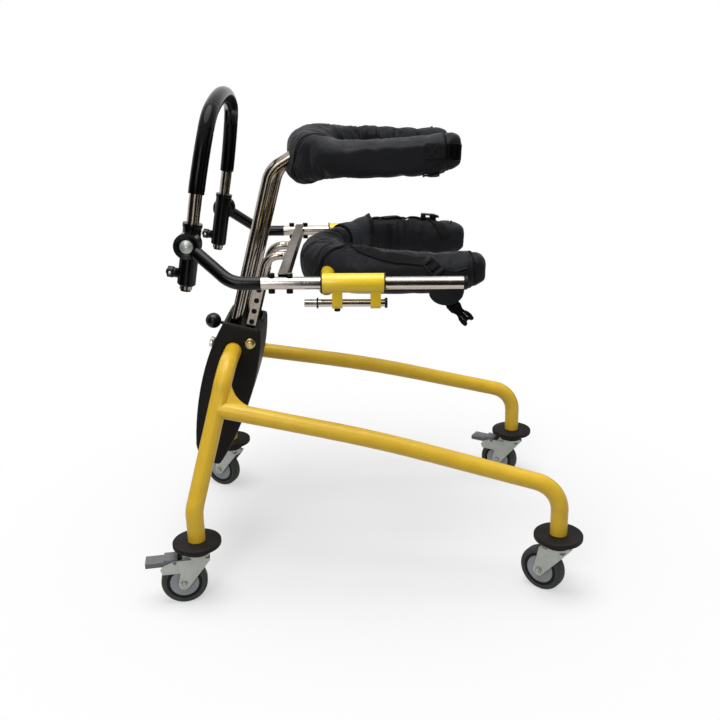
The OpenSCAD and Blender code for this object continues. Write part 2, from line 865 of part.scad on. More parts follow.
// A padded U: rings of a soft section swept from the end of one arm round the front to the other
pad_sides = 16;
pad_arm_steps = 7;
pad_bend_steps = 14;
pad_end_places_share = [0, 0.25, 0.65];
pad_end_shares = [0.74, 0.91, 0.985];
pad_softness = 0.62;
pad_gather_share = 0.04;
pad_front_shares = [0.16, 0.48];
pad_lift_share = 0.3;
function eased(t) = let (c = max(0, min(1, t))) c * c * (3 - 2 * c);
function pad_front(x, reach) =
    eased((pad_front_shares[1] * reach + x) / ((pad_front_shares[1] - pad_front_shares[0]) * reach));
function pad_rise(x, reach) = eased((-x / reach - pad_lift_share) / (1 - pad_lift_share));
function soft(c) = sign(c) * pow(abs(c), pad_softness);
function pad_lines(w, space, reach, front_t) =
    let (
        ro = w / 2,
        ri = space / 2,
        co = -ro,
        ci = -front_t - ri,
        end = [for (s = pad_end_places_share) let (x = -reach + pad_end_r * s) [[x, ro], [x, ri]]],
        arm_end = -reach + pad_end_r,
        arm = [for (i = [0 : pad_arm_steps - 1])
            let (s = i / pad_arm_steps) [[arm_end + (co - arm_end) * s, ro], [arm_end + (ci - arm_end) * s, ri]]],
        left = concat(end, arm),
        round_front = [for (i = [0 : pad_bend_steps])
            let (a = 90 - 180 * i / pad_bend_steps)
                [[co + ro * cos(a), ro * sin(a)], [ci + ri * cos(a), ri * sin(a)]]],
        right = [for (i = [len(left) - 1 : -1 : 0])
            [[left[i][0][0], -left[i][0][1]], [left[i][1][0], -left[i][1][1]]]])
        concat(left, round_front, right);
function pad_ring(outer, inner, h, share, lift) =
    let (mid = (outer + inner) / 2, half = (outer - inner) / 2)
        [for (j = [0 : pad_sides - 1])
            let (a = 360 * j / pad_sides, c = soft(cos(a)) * share, s = soft(sin(a)) * share)
                [mid[0] + half[0] * c, mid[1] + half[1] * c, lift + h / 2 * s]];
function pad_share(i, n) =
    i < len(pad_end_shares) ? pad_end_shares[i]
    : i > n - 1 - len(pad_end_shares) ? pad_end_shares[n - 1 - i]
    : 1 - pad_gather_share * (i % 2);

module padded_u(w, space, h, reach, front_t, front_h, front_drop, end_lift) {
    lines = pad_lines(w, space, reach, front_t);
    n = len(lines);
    points = [for (i = [0 : n - 1])
        let (
            x = (lines[i][0][0] + lines[i][1][0]) / 2,
            front = pad_front(x, reach),
            lift = end_lift * pad_rise(x, reach) - front_drop * front)
            each pad_ring(lines[i][0], lines[i][1], h + (front_h - h) * front, pad_share(i, n), lift)];
    side_faces = [for (i = [0 : n - 2], j = [0 : pad_sides - 1])
        let (
            k = (j + 1) % pad_sides,
            a = i * pad_sides + j,
            b = i * pad_sides + k,
            c = (i + 1) * pad_sides + k,
            d = (i + 1) * pad_sides + j)
            each [[a, b, c], [a, c, d]]];
    first_end = [for (j = [1 : pad_sides - 2]) [0, j + 1, j]];
    last = (n - 1) * pad_sides;
    last_end = [for (j = [1 : pad_sides - 2]) [last, last + j, last + j + 1]];
    polyhedron(points, concat(side_faces, first_end, last_end));
}

module chest_pad() {
    color(pad_black)
        translate([chest_pad_front, 0, chest_pad_z])
            padded_u(chest_pad_w, chest_space_w, chest_pad_h, chest_pad_len, chest_front_t,
                chest_front_h, 0, chest_end_lift);
}

module chest_strap() {
    color(satin_black)
        translate([
            chest_pad_front - chest_pad_len + chest_patch_back,
            chest_pad_w / 2 - strap_sink,
            chest_pad_z - chest_patch_h / 2 + chest_patch_lift])
            cube([chest_patch_len, strap_sink + strap_t, chest_patch_h]);
}

module ladder_lock(len, t, h) {
    difference() {
        cube([len, t, h]);
        for (share = lock_slot_shares)
            translate([len * share - strap_t, -overrun, (h - strap_w) / 2])
                cube([2 * strap_t, t + 2 * overrun, strap_w]);
    }
}

module chest_buckle() {
    color(satin_black)
        translate([
            chest_pad_front - chest_pad_len + chest_patch_back - chest_buckle_len,
            chest_pad_w / 2 - strap_sink,
            chest_pad_z - chest_buckle_h / 2 + chest_patch_lift])
            ladder_lock(chest_buckle_len, chest_buckle_t, chest_buckle_h);
}

// Pelvic support
hook_z = (rail_z + hook_lift - mast_z - bar_x * sin(mast_lean)) / cos(mast_lean);
crossbar_x = rail_x - crossbar_back;
crossbar_y = rail_y - bolt_head_d / 2 - face_gap;

module hole_bar() {
    on_mast()
        difference() {
            translate([bar_x - bar_w / 2, bar_y - bar_w / 2, -bar_foot]) cube([bar_w, bar_w, bar_foot + bar_rise]);
            translate([bar_x - bar_w / 2 + bar_wall, bar_y - bar_w / 2 + bar_wall, -bar_foot - overrun])
                cube([bar_w - 2 * bar_wall, bar_w - 2 * bar_wall, bar_foot + bar_rise - bar_wall + overrun]);
            for (i = [0 : holes - 1])
                translate([bar_x, bar_y + bar_w / 2 + overrun, bar_rise - hole_step * (i + 1)])
                    rotate([90, 0, 0]) cylinder(h = bar_w + 2 * overrun, d = hole_d);
        }
    foot = [
        mast_x + bar_x * cos(mast_lean) - bar_rise * sin(mast_lean),
        bar_y,
        mast_z + bar_x * sin(mast_lean) + bar_rise * cos(mast_lean)];
    corner = [
        mast_x + bar_x * cos(mast_lean) - hook_z * sin(mast_lean),
        bar_y,
        rail_z + hook_lift];
    bent_rod([foot, corner, [crossbar_x + crossbar_w / 2, bar_y, corner[2]]], [hook_r], hook_d);
}

module hole_bars() {
    color(chrome) both_sides() hole_bar();
}

module crossbar() {
    color(chrome)
        difference() {
            translate([crossbar_x - crossbar_w / 2, -crossbar_y, rail_z + hook_lift - crossbar_h / 2])
                cube([crossbar_w, 2 * crossbar_y, crossbar_h]);
            translate([
                crossbar_x - crossbar_w / 2 + crossbar_wall,
                -rail_y,
                rail_z + hook_lift - crossbar_h / 2 + crossbar_wall])
                cube([crossbar_w - 2 * crossbar_wall, rail_track, crossbar_h - 2 * crossbar_wall]);
            both_sides()
                rod(rail_point(overrun, rail_y), rail_point(-rail_len, rail_y), chrome_tube_d + 2 * running_gap);
        }
}

module side_tubes() {
    color(chrome)
        both_sides()
            difference() {
                rod(rail_point(0, rail_y), rail_point(-rail_len, rail_y), chrome_tube_d);
                rod(rail_point(overrun, rail_y), rail_point(-rail_len - overrun, rail_y), chrome_bore);
                for (b = bolt_places)
                    on_rail()
                        translate([-b, rail_y, -chrome_tube_d])
                            cylinder(h = 2 * chrome_tube_d, d = bolt_shank_d + 2 * running_gap);
            }
}

module side_tube_caps() {
    color(satin_black)
        both_sides() {
            rod(rail_point(-rail_len + cap_plug_len, rail_y), rail_point(-rail_len - overrun, rail_y),
                chrome_bore - 2 * running_gap);
            rod(rail_point(-rail_len, rail_y), rail_point(-rail_len - cap_len, rail_y), chrome_tube_d);
        }
}

module side_tube_bolts() {
    color(satin_black)
        both_sides()
            on_rail()
                for (b = bolt_places, m = [0, 1])
                    translate([-b, rail_y, 0])
                        mirror([0, 0, m]) {
                            translate([0, 0, chrome_bore / 2]) cylinder(h = chrome_wall + bolt_head_h / 2, d = bolt_shank_d);
                            translate([0, 0, chrome_tube_d / 2]) cylinder(h = bolt_head_h, d = bolt_head_d);
                        }
}

clamp_front = -clamp_place;
clamp_bore = chrome_tube_d + 2 * running_gap + 2 * clamp_bush_wall;
lug_x = clamp_front - lug_back;
lug_y = sqrt(pow(pelvic_pad_w / 2, 2) - pow(pelvic_pad_w / 2 + lug_x + pelvic_pad_front, 2)) - lug_sink;

module left_clamp() {
    color(clamp_yellow)
        on_rail()
            difference() {
                union() {
                    translate([clamp_front - clamp_len, rail_y, 0]) rotate([0, 90, 0]) cylinder(h = clamp_len, d = clamp_d);
                    translate([lug_x, lug_y, -lug_drop])
                        rotate([-90, 0, 0]) cylinder(h = rail_y - lug_bite - lug_y, d = lug_d);
                    for (p = prong_places)
                        translate([clamp_front - p - prong_len, rail_y, -rod_drop]) {
                            translate([0, -prong_w / 2, 0]) cube([prong_len, prong_w, rod_drop]);
                            rotate([0, 90, 0]) cylinder(h = prong_len, d = prong_w);
                        }
                }
                translate([clamp_front + lug_d, rail_y, 0])
                    rotate([0, -90, 0]) cylinder(h = clamp_len + 2 * lug_d, d = clamp_bore);
                translate([clamp_front, rail_y, 0])
                    rotate([0, 90, 0]) cylinder(h = lug_d, d = clamp_rim_d + 2 * face_gap);
                translate([clamp_front + overrun, rail_y, -rod_drop])
                    rotate([0, -90, 0]) cylinder(h = clamp_len + 2 * overrun, d = rod_d + 2 * running_gap);
            }
}

module right_clamp() {
    mirror([0, 1, 0]) left_clamp();
}

module clamp_bushes() {
    color(satin_black)
        both_sides()
            on_rail()
                for (m = [0, 1])
                    translate([clamp_front - clamp_len / 2, rail_y, 0])
                        mirror([m, 0, 0])
                            translate([clamp_len / 2 - clamp_bush_len + running_gap, 0, 0])
                                rotate([0, 90, 0])
                                    difference() {
                                        union() {
                                            cylinder(h = clamp_bush_len, d = clamp_bore - 2 * running_gap);
                                            translate([0, 0, clamp_bush_len])
                                                cylinder(h = clamp_rim_t, d = clamp_rim_d);
                                        }
                                        translate([0, 0, -overrun])
                                            cylinder(h = clamp_bush_len + clamp_rim_t + 2 * overrun,
                                                d = chrome_tube_d + 2 * running_gap);
                                    }
}

module clamp_rods() {
    color(chrome)
        both_sides()
            on_rail()
                translate([clamp_front - clamp_len - rod_back, rail_y, -rod_drop])
                    rotate([0, 90, 0]) cylinder(h = rod_front + clamp_len + rod_back, d = rod_d);
}

module rod_rings() {
    color(satin_black)
        both_sides()
            on_rail()
                translate([clamp_front, rail_y, -rod_drop])
                    rotate([0, 90, 0]) {
                        translate([0, 0, rod_ring_ahead])
                            difference() {
                                cylinder(h = rod_ring_t, d = rod_ring_d);
                                translate([0, 0, -overrun])
                                    cylinder(h = rod_ring_t + 2 * overrun, d = rod_d + 2 * running_gap);
                            }
                        translate([0, 0, -clamp_len - rod_back - rod_cap_t]) cylinder(h = rod_cap_t, d = rod_cap_d);
                    }
}

module rod_nuts() {
    color(chrome)
        both_sides()
            on_rail()
                translate([clamp_front - prong_places[0] - prong_len / 2, rail_y, -rod_drop - prong_w / 2 - rod_nut_h + rod_nut_sink])
                    cylinder(h = rod_nut_h, d = rod_nut_d, $fn = 6);
}

module on_pad() {
    on_rail() translate([-pelvic_pad_front, 0, -pelvic_pad_drop]) children();
}

module pelvic_pad() {
    color(pad_black)
        on_pad()
            padded_u(pelvic_pad_w, pelvic_space_w, pelvic_pad_h, pelvic_pad_len, pelvic_front_t,
                pelvic_front_h, pelvic_front_drop, pelvic_end_lift);
}

arm_mid_y = (pelvic_pad_w + pelvic_space_w) / 4;

module pelvic_straps() {
    color(satin_black)
        on_pad() {
            translate([-far_strap_middle, -arm_mid_y, pelvic_pad_h / 2 + far_strap_rise - far_strap_r])
                rotate([90, 0, 0])
                    difference() {
                        cylinder(h = strap_w, r = far_strap_r, center = true);
                        cylinder(h = strap_w + 2 * overrun, r = far_strap_r - strap_t, center = true);
                        translate([-far_strap_r - overrun, -far_strap_r - overrun, -strap_w])
                            cube([2 * (far_strap_r + overrun), 2 * far_strap_r - far_strap_rise - far_strap_sink + overrun, 2 * strap_w]);
                    }
            translate([-plug_place, arm_mid_y + strap_w / 2, -plug_drop + plug_strap_len])
                cube([strap_w, strap_t * 2, plug_drop - plug_strap_len]);
        }
}

module ladder_buckle() {
    color(satin_black)
        on_pad()
            translate([-ladder_place, pelvic_pad_w / 2 - ladder_sink, ladder_lift])
                rotate([0, -ladder_slope, 0])
                    translate([-ladder_len / 2, 0, -ladder_h / 2])
                        ladder_lock(ladder_len, ladder_t, ladder_h);
}

module buckle_socket() {
    color(satin_black)
        on_pad()
            translate([-socket_place - socket_len / 2, -arm_mid_y - plug_w / 2, pelvic_pad_h / 2 + socket_lift])
                difference() {
                    cube([socket_len, plug_w, socket_h]);
                    translate([-overrun, socket_wall, socket_wall])
                        cube([
                            socket_len * socket_mouth_share + overrun,
                            plug_w - 2 * socket_wall,
                            socket_h - 2 * socket_wall]);
                    translate([socket_len * socket_window_shares[0], -overrun, socket_h * socket_window_shares[0]])
                        cube([
                            socket_len * socket_window_shares[1],
                            plug_w + 2 * overrun,
                            socket_h * socket_window_shares[1]]);
                }
}

module buckle_plug() {
    color(satin_black)
        on_pad()
            translate([-plug_place, arm_mid_y + strap_w / 2, -plug_drop + plug_strap_len])
                rotate([0, plug_slope, 0])
                    translate([0, plug_t, 0])
                        rotate([90, 0, 0])
                            linear_extrude(plug_t)
                                polygon([for (share = plug_shares) [share[0] * plug_w, share[1] * plug_len]]);
}

// Handlebar
module left_arm() {
    color(satin_black)
        difference() {
            union() {
                rod(rail_point(-arm_spigot_len, rail_y), rail_point(2 * overrun, rail_y), chrome_bore - 2 * running_gap);
                bent_rod(arm_path, [arm_bend_r], arm_d);
                rod([pivot_x, joint_in_y, pivot_z], [pivot_x, joint_out_y, pivot_z], joint_d);
                difference() {
                    rod([pivot_x, joint_out_y - overrun, pivot_z], [pivot_x, joint_out_y + joint_rim_h, pivot_z],
                        joint_d);
                    rod([pivot_x, joint_out_y - 2 * overrun, pivot_z],
                        [pivot_x, joint_out_y + joint_rim_h + overrun, pivot_z], joint_d - 2 * joint_rim_w);
                }
            }
            rod([pivot_x, joint_in_y - overrun, pivot_z], [pivot_x, joint_out_y + overrun, pivot_z],
                screw_d + 2 * running_gap);
        }
}

module right_arm() {
    mirror([0, 1, 0]) left_arm();
}

module joint_screws() {
    color(chrome)
        both_sides()
            translate([pivot_x, joint_face_y - screw_bite + face_gap, pivot_z])
                rotate([-90, 0, 0]) {
                    cylinder(h = screw_bite + joint_t, d = screw_d);
                    translate([0, 0, screw_bite + joint_t])
                        intersection() {
                            cylinder(h = screw_head_h, d = screw_head_d);
                            translate([0, 0, screw_head_h - screw_head_d]) sphere(r = screw_head_d);
                        }
                }
}

module left_sleeve() {
    color(satin_black)
        on_handle()
            difference() {
                union() {
                    translate([0, sleeve_y, -sleeve_below])
                        cylinder(h = sleeve_chamfer, d1 = sleeve_d - 2 * sleeve_chamfer, d2 = sleeve_d);
                    translate([0, sleeve_y, -sleeve_below + sleeve_chamfer])
                        cylinder(h = sleeve_len - sleeve_chamfer, d = sleeve_d);
                    translate([0, sleeve_y, sleeve_len - sleeve_below - sleeve_collar_h])
                        cylinder(h = sleeve_collar_h, d = sleeve_d + 2 * sleeve_collar_out);
                    translate([0, sleeve_y, 0])
                        rotate([-90, 0, 0]) cylinder(h = sleeve_d / 2 + joint_boss_t, d = joint_d - 2 * joint_boss_in);
                    translate([0, sleeve_y, plunger_z])
                        rotate([0, 90, 0]) cylinder(h = sleeve_d / 2 + plunger_barrel_len, d = plunger_barrel_d);
                }
                translate([0, sleeve_y, -sleeve_below - overrun])
                    cylinder(h = sleeve_len + 2 * overrun, d = chrome_tube_d + 2 * running_gap);
                translate([0, sleeve_y, plunger_z])
                    rotate([0, 90, 0])
                        cylinder(h = sleeve_d + plunger_barrel_len, d = plunger_pin_d + 2 * running_gap);
                translate([0, joint_face_y - screw_bite, 0])
                    rotate([-90, 0, 0]) cylinder(h = screw_bite + overrun, d = screw_d + 2 * running_gap);
            }
}

module right_sleeve() {
    mirror([0, 1, 0]) left_sleeve();
}

module left_plunger() {
    start = chrome_tube_d / 2 + face_gap;
    knob = sleeve_d / 2 + plunger_barrel_len + face_gap;
    on_handle()
        translate([0, sleeve_y, plunger_z])
            rotate([0, 90, 0]) {
                color(chrome) translate([0, 0, start]) cylinder(h = knob - start, d = plunger_pin_d);
                color(satin_black) translate([0, 0, knob]) cylinder(h = plunger_knob_len, d = plunger_knob_d);
                color(chrome)
                    translate([0, 0, knob + plunger_knob_len]) cylinder(h = plunger_tip_len, d = plunger_tip_d);
            }
}

module right_plunger() {
    mirror([0, 1, 0]) left_plunger();
}

module handlebar() {
    color(chrome) on_handle() bent_tube(bar_path, bar_radii, chrome_tube_d, chrome_wall);
}

module handlebar_grip() {
    color(satin_black)
        on_handle()
            difference() {
                bent_rod(grip_path, bar_radii, grip_d);
                bent_rod(stretched(grip_path, overrun, overrun), bar_radii, chrome_tube_d + 2 * grip_gap);
            }
}

module handlebar_plugs() {
    color(satin_black)
        on_handle()
            both_sides()
                translate(bar_end) {
                    translate([0, 0, -overrun])
                        cylinder(h = cap_plug_len + overrun, d = chrome_bore - 2 * running_gap);
                    translate([0, 0, -plug_lip]) cylinder(h = plug_lip, d = chrome_bore);
                }
}

placed() left_frame();
placed() right_frame();
placed() castor_sockets();
placed() bumpers();
placed() guide_block();
placed() cover_left();
placed() cover_right();
placed() cover_bolts();
placed() front_bolt();
placed() ball_knob();
placed() castor_fork(0, true);  // front_left_fork
placed() castor_axle(0);  // front_left_axle
placed() castor_tyre(0);  // front_left_tyre
placed() castor_hub(0);  // front_left_hub
placed() brake_pedal(0);  // front_left_pedal
placed() castor_fork(1, false);  // front_right_fork
placed() castor_axle(1);  // front_right_axle
placed() castor_tyre(1);  // front_right_tyre
placed() castor_hub(1);  // front_right_hub
placed() castor_fork(2, false);  // rear_left_fork
placed() castor_axle(2);  // rear_left_axle
placed() castor_tyre(2);  // rear_left_tyre
placed() castor_hub(2);  // rear_left_hub
placed() castor_fork(3, true);  // rear_right_fork
placed() castor_axle(3);  // rear_right_axle
placed() castor_tyre(3);  // rear_right_tyre
placed() castor_hub(3);  // rear_right_hub
placed() brake_pedal(3);  // rear_right_pedal
placed() chest_tubes();
placed() chest_pad();
placed() chest_strap();
placed() chest_buckle();
placed() hole_bars();
placed() crossbar();
placed() side_tubes();
placed() side_tube_caps();
placed() side_tube_bolts();
placed() left_clamp();
placed() right_clamp();
placed() clamp_bushes();
placed() clamp_rods();
placed() rod_rings();
placed() rod_nuts();
placed() pelvic_pad();
placed() pelvic_straps();
placed() ladder_buckle();
placed() buckle_socket();
placed() buckle_plug();
placed() left_arm();
placed() right_arm();
placed() joint_screws();
placed() left_sleeve();
placed() right_sleeve();
placed() left_plunger();
placed() right_plunger();
placed() handlebar();
placed() handlebar_grip();
placed() handlebar_plugs();
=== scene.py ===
# %% [markdown]
# # A gait trainer, dressed piece by piece
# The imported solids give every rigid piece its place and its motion. This lesson adds what solids
# can't show: stuffed covers with seams and gathers, webbing, buckles, turned trim and finishes.
# Everything is in metres, in the frame of the solids.

# %% Load the solids
import json
import math
import random
import bpy
import numpy as np
from mathutils import Matrix, Vector


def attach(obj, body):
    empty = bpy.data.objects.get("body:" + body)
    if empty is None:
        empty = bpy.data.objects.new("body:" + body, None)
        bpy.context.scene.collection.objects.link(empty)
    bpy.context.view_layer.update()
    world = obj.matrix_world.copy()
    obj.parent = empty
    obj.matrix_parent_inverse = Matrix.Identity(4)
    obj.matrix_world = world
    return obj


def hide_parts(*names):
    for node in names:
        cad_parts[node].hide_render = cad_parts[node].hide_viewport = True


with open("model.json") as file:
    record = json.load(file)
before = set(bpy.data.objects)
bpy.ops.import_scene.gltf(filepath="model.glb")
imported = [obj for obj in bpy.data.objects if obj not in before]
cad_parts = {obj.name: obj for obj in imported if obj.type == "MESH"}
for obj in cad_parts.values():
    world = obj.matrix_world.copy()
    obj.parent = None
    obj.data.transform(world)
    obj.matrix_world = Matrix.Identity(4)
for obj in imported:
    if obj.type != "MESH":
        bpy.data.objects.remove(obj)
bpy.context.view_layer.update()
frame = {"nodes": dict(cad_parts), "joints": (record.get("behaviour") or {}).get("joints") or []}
joints = {j["name"]: j for j in frame["joints"]}

# %% [markdown]
# ## Where things are
# The drawing is in millimetres, from a point midway between the castors. A small helper turns its
# numbers into places. Each pad has its own frame: it starts at the front of the ring, and the pelvic
# pad is turned with its tubes, which slope a little.

# %% Places
MM = 0.001
DRAWING_SHIFT = Vector((-30.88, 10.9, 0))
RAIL_TURN = Matrix.Rotation(math.radians(-1.3), 3, "Y")
PAD_ON_RAIL = Vector((-60, 0, -8))
CORNERS = ("front_left", "front_right", "rear_left", "rear_right")


def at(x, y, z):
    return (Vector((x, y, z)) + DRAWING_SHIFT) * MM


chest = dict(origin=at(172, 0, 933), turn=Matrix.Identity(3), width=316, space=200,
             height=86, reach=362, front=97, end_cut=0.45, front_seam=96)
pelvic = dict(origin=at(214, 0, 714) + RAIL_TURN @ PAD_ON_RAIL * MM, turn=RAIL_TURN, width=430, space=280,
              height=84, reach=390, front=95, end_cut=0.55, front_seam=120)
print("pads start at", chest["origin"], pelvic["origin"])

# %% [markdown]
# ## Working in edit mode from a script
# An operator acts on all that is selected, and the loaded solids come in selected. So each step
# first clears the selection, picks one piece, and applies its modifiers before the next step.

# %% Helpers for objects


def pick(piece):
    bpy.ops.object.select_all(action="DESELECT")
    piece.select_set(True)
    bpy.context.view_layer.objects.active = piece


def settle(piece):
    pick(piece)
    bpy.ops.object.transform_apply(location=True, rotation=True, scale=True)
    return piece


def put(piece, matrix):
    piece.matrix_world = matrix
    return settle(piece)


def joined(name, pieces):
    bpy.ops.object.select_all(action="DESELECT")
    for piece in pieces:
        piece.select_set(True)
    bpy.context.view_layer.objects.active = pieces[0]
    bpy.ops.object.join()
    made = bpy.context.object
    made.name = name
    return made


def dress(piece, finish, slot, body, *solids):
    piece.data.materials.clear()
    piece.data.materials.append(finish)
    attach(piece, body)
    if solids:
        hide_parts(*solids)
    return piece


# %% Helpers for meshes
MERGE = 0.00001
SLIVER = 0.000005


def add_modifier(piece, kind, **values):
    pick(piece)
    step = piece.modifiers.new(kind.lower(), kind)
    for key, value in values.items():
        setattr(step, key, value)
    bpy.ops.object.modifier_apply(modifier=step.name)
    return piece


def round_edges(piece, width, angle):
    return add_modifier(piece, "BEVEL", width=width * MM, segments=2, limit_method="ANGLE", angle_limit=angle)


def coords(piece, kind="co"):
    flat = np.zeros(len(piece.data.vertices) * 3)
    piece.data.vertices.foreach_get(kind, flat)
    return flat.reshape(-1, 3)


def set_coords(piece, points):
    piece.data.vertices.foreach_set("co", np.asarray(points, float).ravel())
    piece.data.update()


def smooth(piece, angle):
    pick(piece)
    bpy.ops.object.shade_smooth_by_angle(angle=math.radians(angle))
    return piece


def remesh(piece, voxel):
    piece.data.remesh_voxel_size = voxel
    pick(piece)
    bpy.ops.object.voxel_remesh()


def in_edit_mode(piece, *steps):
    pick(piece)
    bpy.ops.object.mode_set(mode="EDIT")
    bpy.ops.mesh.select_all(action="SELECT")
    for step, values in steps:
        step(**values)
    bpy.ops.object.mode_set(mode="OBJECT")
    return piece


def clean(piece):
    return in_edit_mode(
        piece,
        (bpy.ops.mesh.remove_doubles, dict(threshold=MERGE)),
        (bpy.ops.mesh.dissolve_degenerate, dict(threshold=SLIVER)),
        (bpy.ops.mesh.normals_make_consistent, dict(inside=False)))


def copy_of_node(node, name):
    piece = frame["nodes"][node].copy()
    piece.data = piece.data.copy()
    piece.name = name
    piece.parent = None
    for key in list(piece.keys()):
        del piece[key]
    bpy.context.scene.collection.objects.link(piece)
    return clean(piece)


# %% [markdown]
# ## The camera
# The photograph looks at the left side from a little above the pads. Its place, its slope and its
# focal length came from fitting the castors and tube ends, so they are plain numbers here.

# %% Camera
CAMERA_AT = at(26.553, 1930.418, 1094.565)
PITCH = 0.320429
ROLL = -0.026636
SENSOR_WIDTH = 36
FOCAL_PIXELS = 862.214
IMAGE_PIXELS = 720
forward = Vector((0, -math.cos(PITCH), -math.sin(PITCH)))
across = Vector((-1, 0, 0))
upward = Vector((0, -math.sin(PITCH), math.cos(PITCH)))
right = across * math.cos(ROLL) + upward * math.sin(ROLL)
top = upward * math.cos(ROLL) - across * math.sin(ROLL)
bpy.ops.object.camera_add(location=CAMERA_AT)
camera = bpy.context.object
camera.name = "camera"
camera.matrix_world = Matrix((right, top, -forward)).transposed().to_4x4()
camera.location = CAMERA_AT
camera.data.sensor_width = SENSOR_WIDTH
camera.data.lens = SENSOR_WIDTH * FOCAL_PIXELS / IMAGE_PIXELS
camera.data.clip_end = 60
bpy.context.scene.camera = camera
bpy.context.scene.view_settings.view_transform = "Standard"
print("lens", round(camera.data.lens, 2))

# %% [markdown]
# ## The studio
# White paper runs under the trainer and out of view. Near the trainer the camera sees the paper as a matt
# surface that takes the soft shadow, mixed about half with a painted white glow that lightens that shadow.
# Further off the glow grows to plain white for the camera. It throws back less light than it seems to, so
# undersides stay dark. The nodes are made and wired by two small helpers, which take a socket's name
# with _ for a space.

# %% Floor and world
WHITE = (1, 1, 1, 1)
THROWN_TONE = (0.42, 0.41, 0.39, 1)
SEEN_TONE = (0.86, 0.86, 0.87, 1)
SKY = 0.34


def tree_of(owner):
    owner.use_nodes = True
    tree = owner.node_tree
    tree.nodes.clear()
    return tree


def node(tree, kind, **values):
    made = tree.nodes.new(kind)
    for key, value in values.items():
        label = key.replace("_", " ")
        if label in made.inputs:
            made.inputs[label].default_value = value
        else:
            setattr(made, key, value)
    return made


def wires(tree, *runs):
    for source, give, target, take in runs:
        tree.links.new(source.outputs[give], target.inputs[take])


paper = bpy.data.materials.new("white_paper")
tree = tree_of(paper)
out = node(tree, "ShaderNodeOutputMaterial")
matt = node(tree, "ShaderNodeBsdfDiffuse", Roughness=1.0)
tone = node(tree, "ShaderNodeMix", data_type="RGBA", A=THROWN_TONE, B=SEEN_TONE)
glow = node(tree, "ShaderNodeEmission", Color=WHITE, Strength=1.0)
mix = node(tree, "ShaderNodeMixShader")
place = node(tree, "ShaderNodeTexCoord")
distance = node(tree, "ShaderNodeVectorMath", operation="LENGTH")
# Painted light: near the trainer the camera sees a white glow at a share of 0.48, which lightens the shadow
# on the paper
fade = node(tree, "ShaderNodeMapRange", interpolation_type="SMOOTHSTEP",
            From_Min=0.35, From_Max=1.15, To_Min=0.48)
ray = node(tree, "ShaderNodeLightPath")
seen = node(tree, "ShaderNodeMath", operation="MAXIMUM")
share = node(tree, "ShaderNodeMath", operation="MULTIPLY")
wires(tree,
      (place, "Object", distance, 0), (distance, "Value", fade, "Value"),
      (ray, "Is Camera Ray", seen, 0), (ray, "Is Glossy Ray", seen, 1),
      (seen, 0, tone, "Factor"), (tone, "Result", matt, "Color"),
      (fade, "Result", share, 0), (seen, 0, share, 1), (share, 0, mix, "Fac"),
      (matt, 0, mix, 1), (glow, 0, mix, 2), (mix, 0, out, "Surface"))
bpy.ops.mesh.primitive_plane_add(size=14, location=(0, 0, 0))
floor = bpy.context.object
floor.name = "studio_floor"
floor.data.materials.append(paper)

world = bpy.data.worlds.new("studio")
bpy.context.scene.world = world
tree = tree_of(world)
out = node(tree, "ShaderNodeOutputWorld")
sky = node(tree, "ShaderNodeBackground", Color=WHITE, Strength=SKY)
white = node(tree, "ShaderNodeBackground", Color=WHITE, Strength=1.0)
mix = node(tree, "ShaderNodeMixShader")
ray = node(tree, "ShaderNodeLightPath")
first = node(tree, "ShaderNodeMath", operation="MAXIMUM")
second = node(tree, "ShaderNodeMath", operation="MAXIMUM")
wires(tree,
      (ray, "Is Camera Ray", first, 0), (ray, "Is Glossy Ray", first, 1),
      (first, 0, second, 0), (ray, "Is Transmission Ray", second, 1), (second, 0, mix, "Fac"),
      (sky, 0, mix, 1), (white, 0, mix, 2), (mix, 0, out, "Surface"))
print("floor", floor.name, "and world", world.name)

# %% [markdown]
# ## Lamps and cards
# A broad lamp overhead and a smaller one beside the camera light the trainer softly. Chrome shows what
# stands round it, so a ring of dark cards gives it dark lines. They show only in reflections. The gaps
# between them are where the bright lines come from.

# %% Lamps and cards
CARD_RING = 1.35
CARD_THICK = 0.02
CARD_GAP = 0.01
CARD_ARCS = [
    (5, 63, 1.7), (81, 121, 1.7), (127, 169, 1.7), (186, 248, 0.7), (258, 294, 0.98), (304, 354, 0.7)]


def softbox(name, place, target, size, watts):
    bpy.ops.object.light_add(type="AREA", location=place)
    lamp = bpy.context.object
    lamp.name = name
    lamp.data.shape = "DISK"
    lamp.data.size = size
    lamp.data.energy = watts
    aim = Vector(target) - Vector(place)
    lamp.rotation_euler = aim.to_track_quat("-Z", "Y").to_euler()


softbox("overhead", (0.2, 0.3, 3.4), (0, 0, 0.4), 2.6, 93)
softbox("camera_side", (0.9, 2.9, 2.1), (0, 0, 0.6), 1.4, 20)
card_finish = bpy.data.materials.new("dark_card")
tree = tree_of(card_finish)
out = node(tree, "ShaderNodeOutputMaterial")
matt = node(tree, "ShaderNodeBsdfDiffuse", Color=(0.03, 0.028, 0.026, 1))
wires(tree, (matt, 0, out, "Surface"))
for index, (start, end, high) in enumerate(CARD_ARCS):
    middle = math.radians((start + end) / 2)
    wide = 2 * CARD_RING * math.tan(math.radians((end - start) / 2))
    place = (CARD_RING * math.cos(middle), CARD_RING * math.sin(middle), high / 2 + CARD_GAP)
    bpy.ops.mesh.primitive_cube_add(
        size=1, location=place, rotation=(0, 0, middle), scale=(CARD_THICK, wide, high))
    card = settle(bpy.context.object)
    card.name = "dark_card_%d" % index
    card.data.materials.append(card_finish)
    card.visible_camera = False
    card.visible_diffuse = False
    card.visible_shadow = False
print("studio ready,", len(CARD_ARCS), "cards")

# %% [markdown]
# ## Shader groups
# Real surfaces vary. Four groups hold what the finishes share: a mottle that shifts colour, a grain
# that gives roughness and height, the weave of cloth and the ribs of webbing. Each finish places
# them with its own values, and its Principled shader stays in the material.

# %% Mottle and grain
GREY = (0.5, 0.5, 0.5, 1)


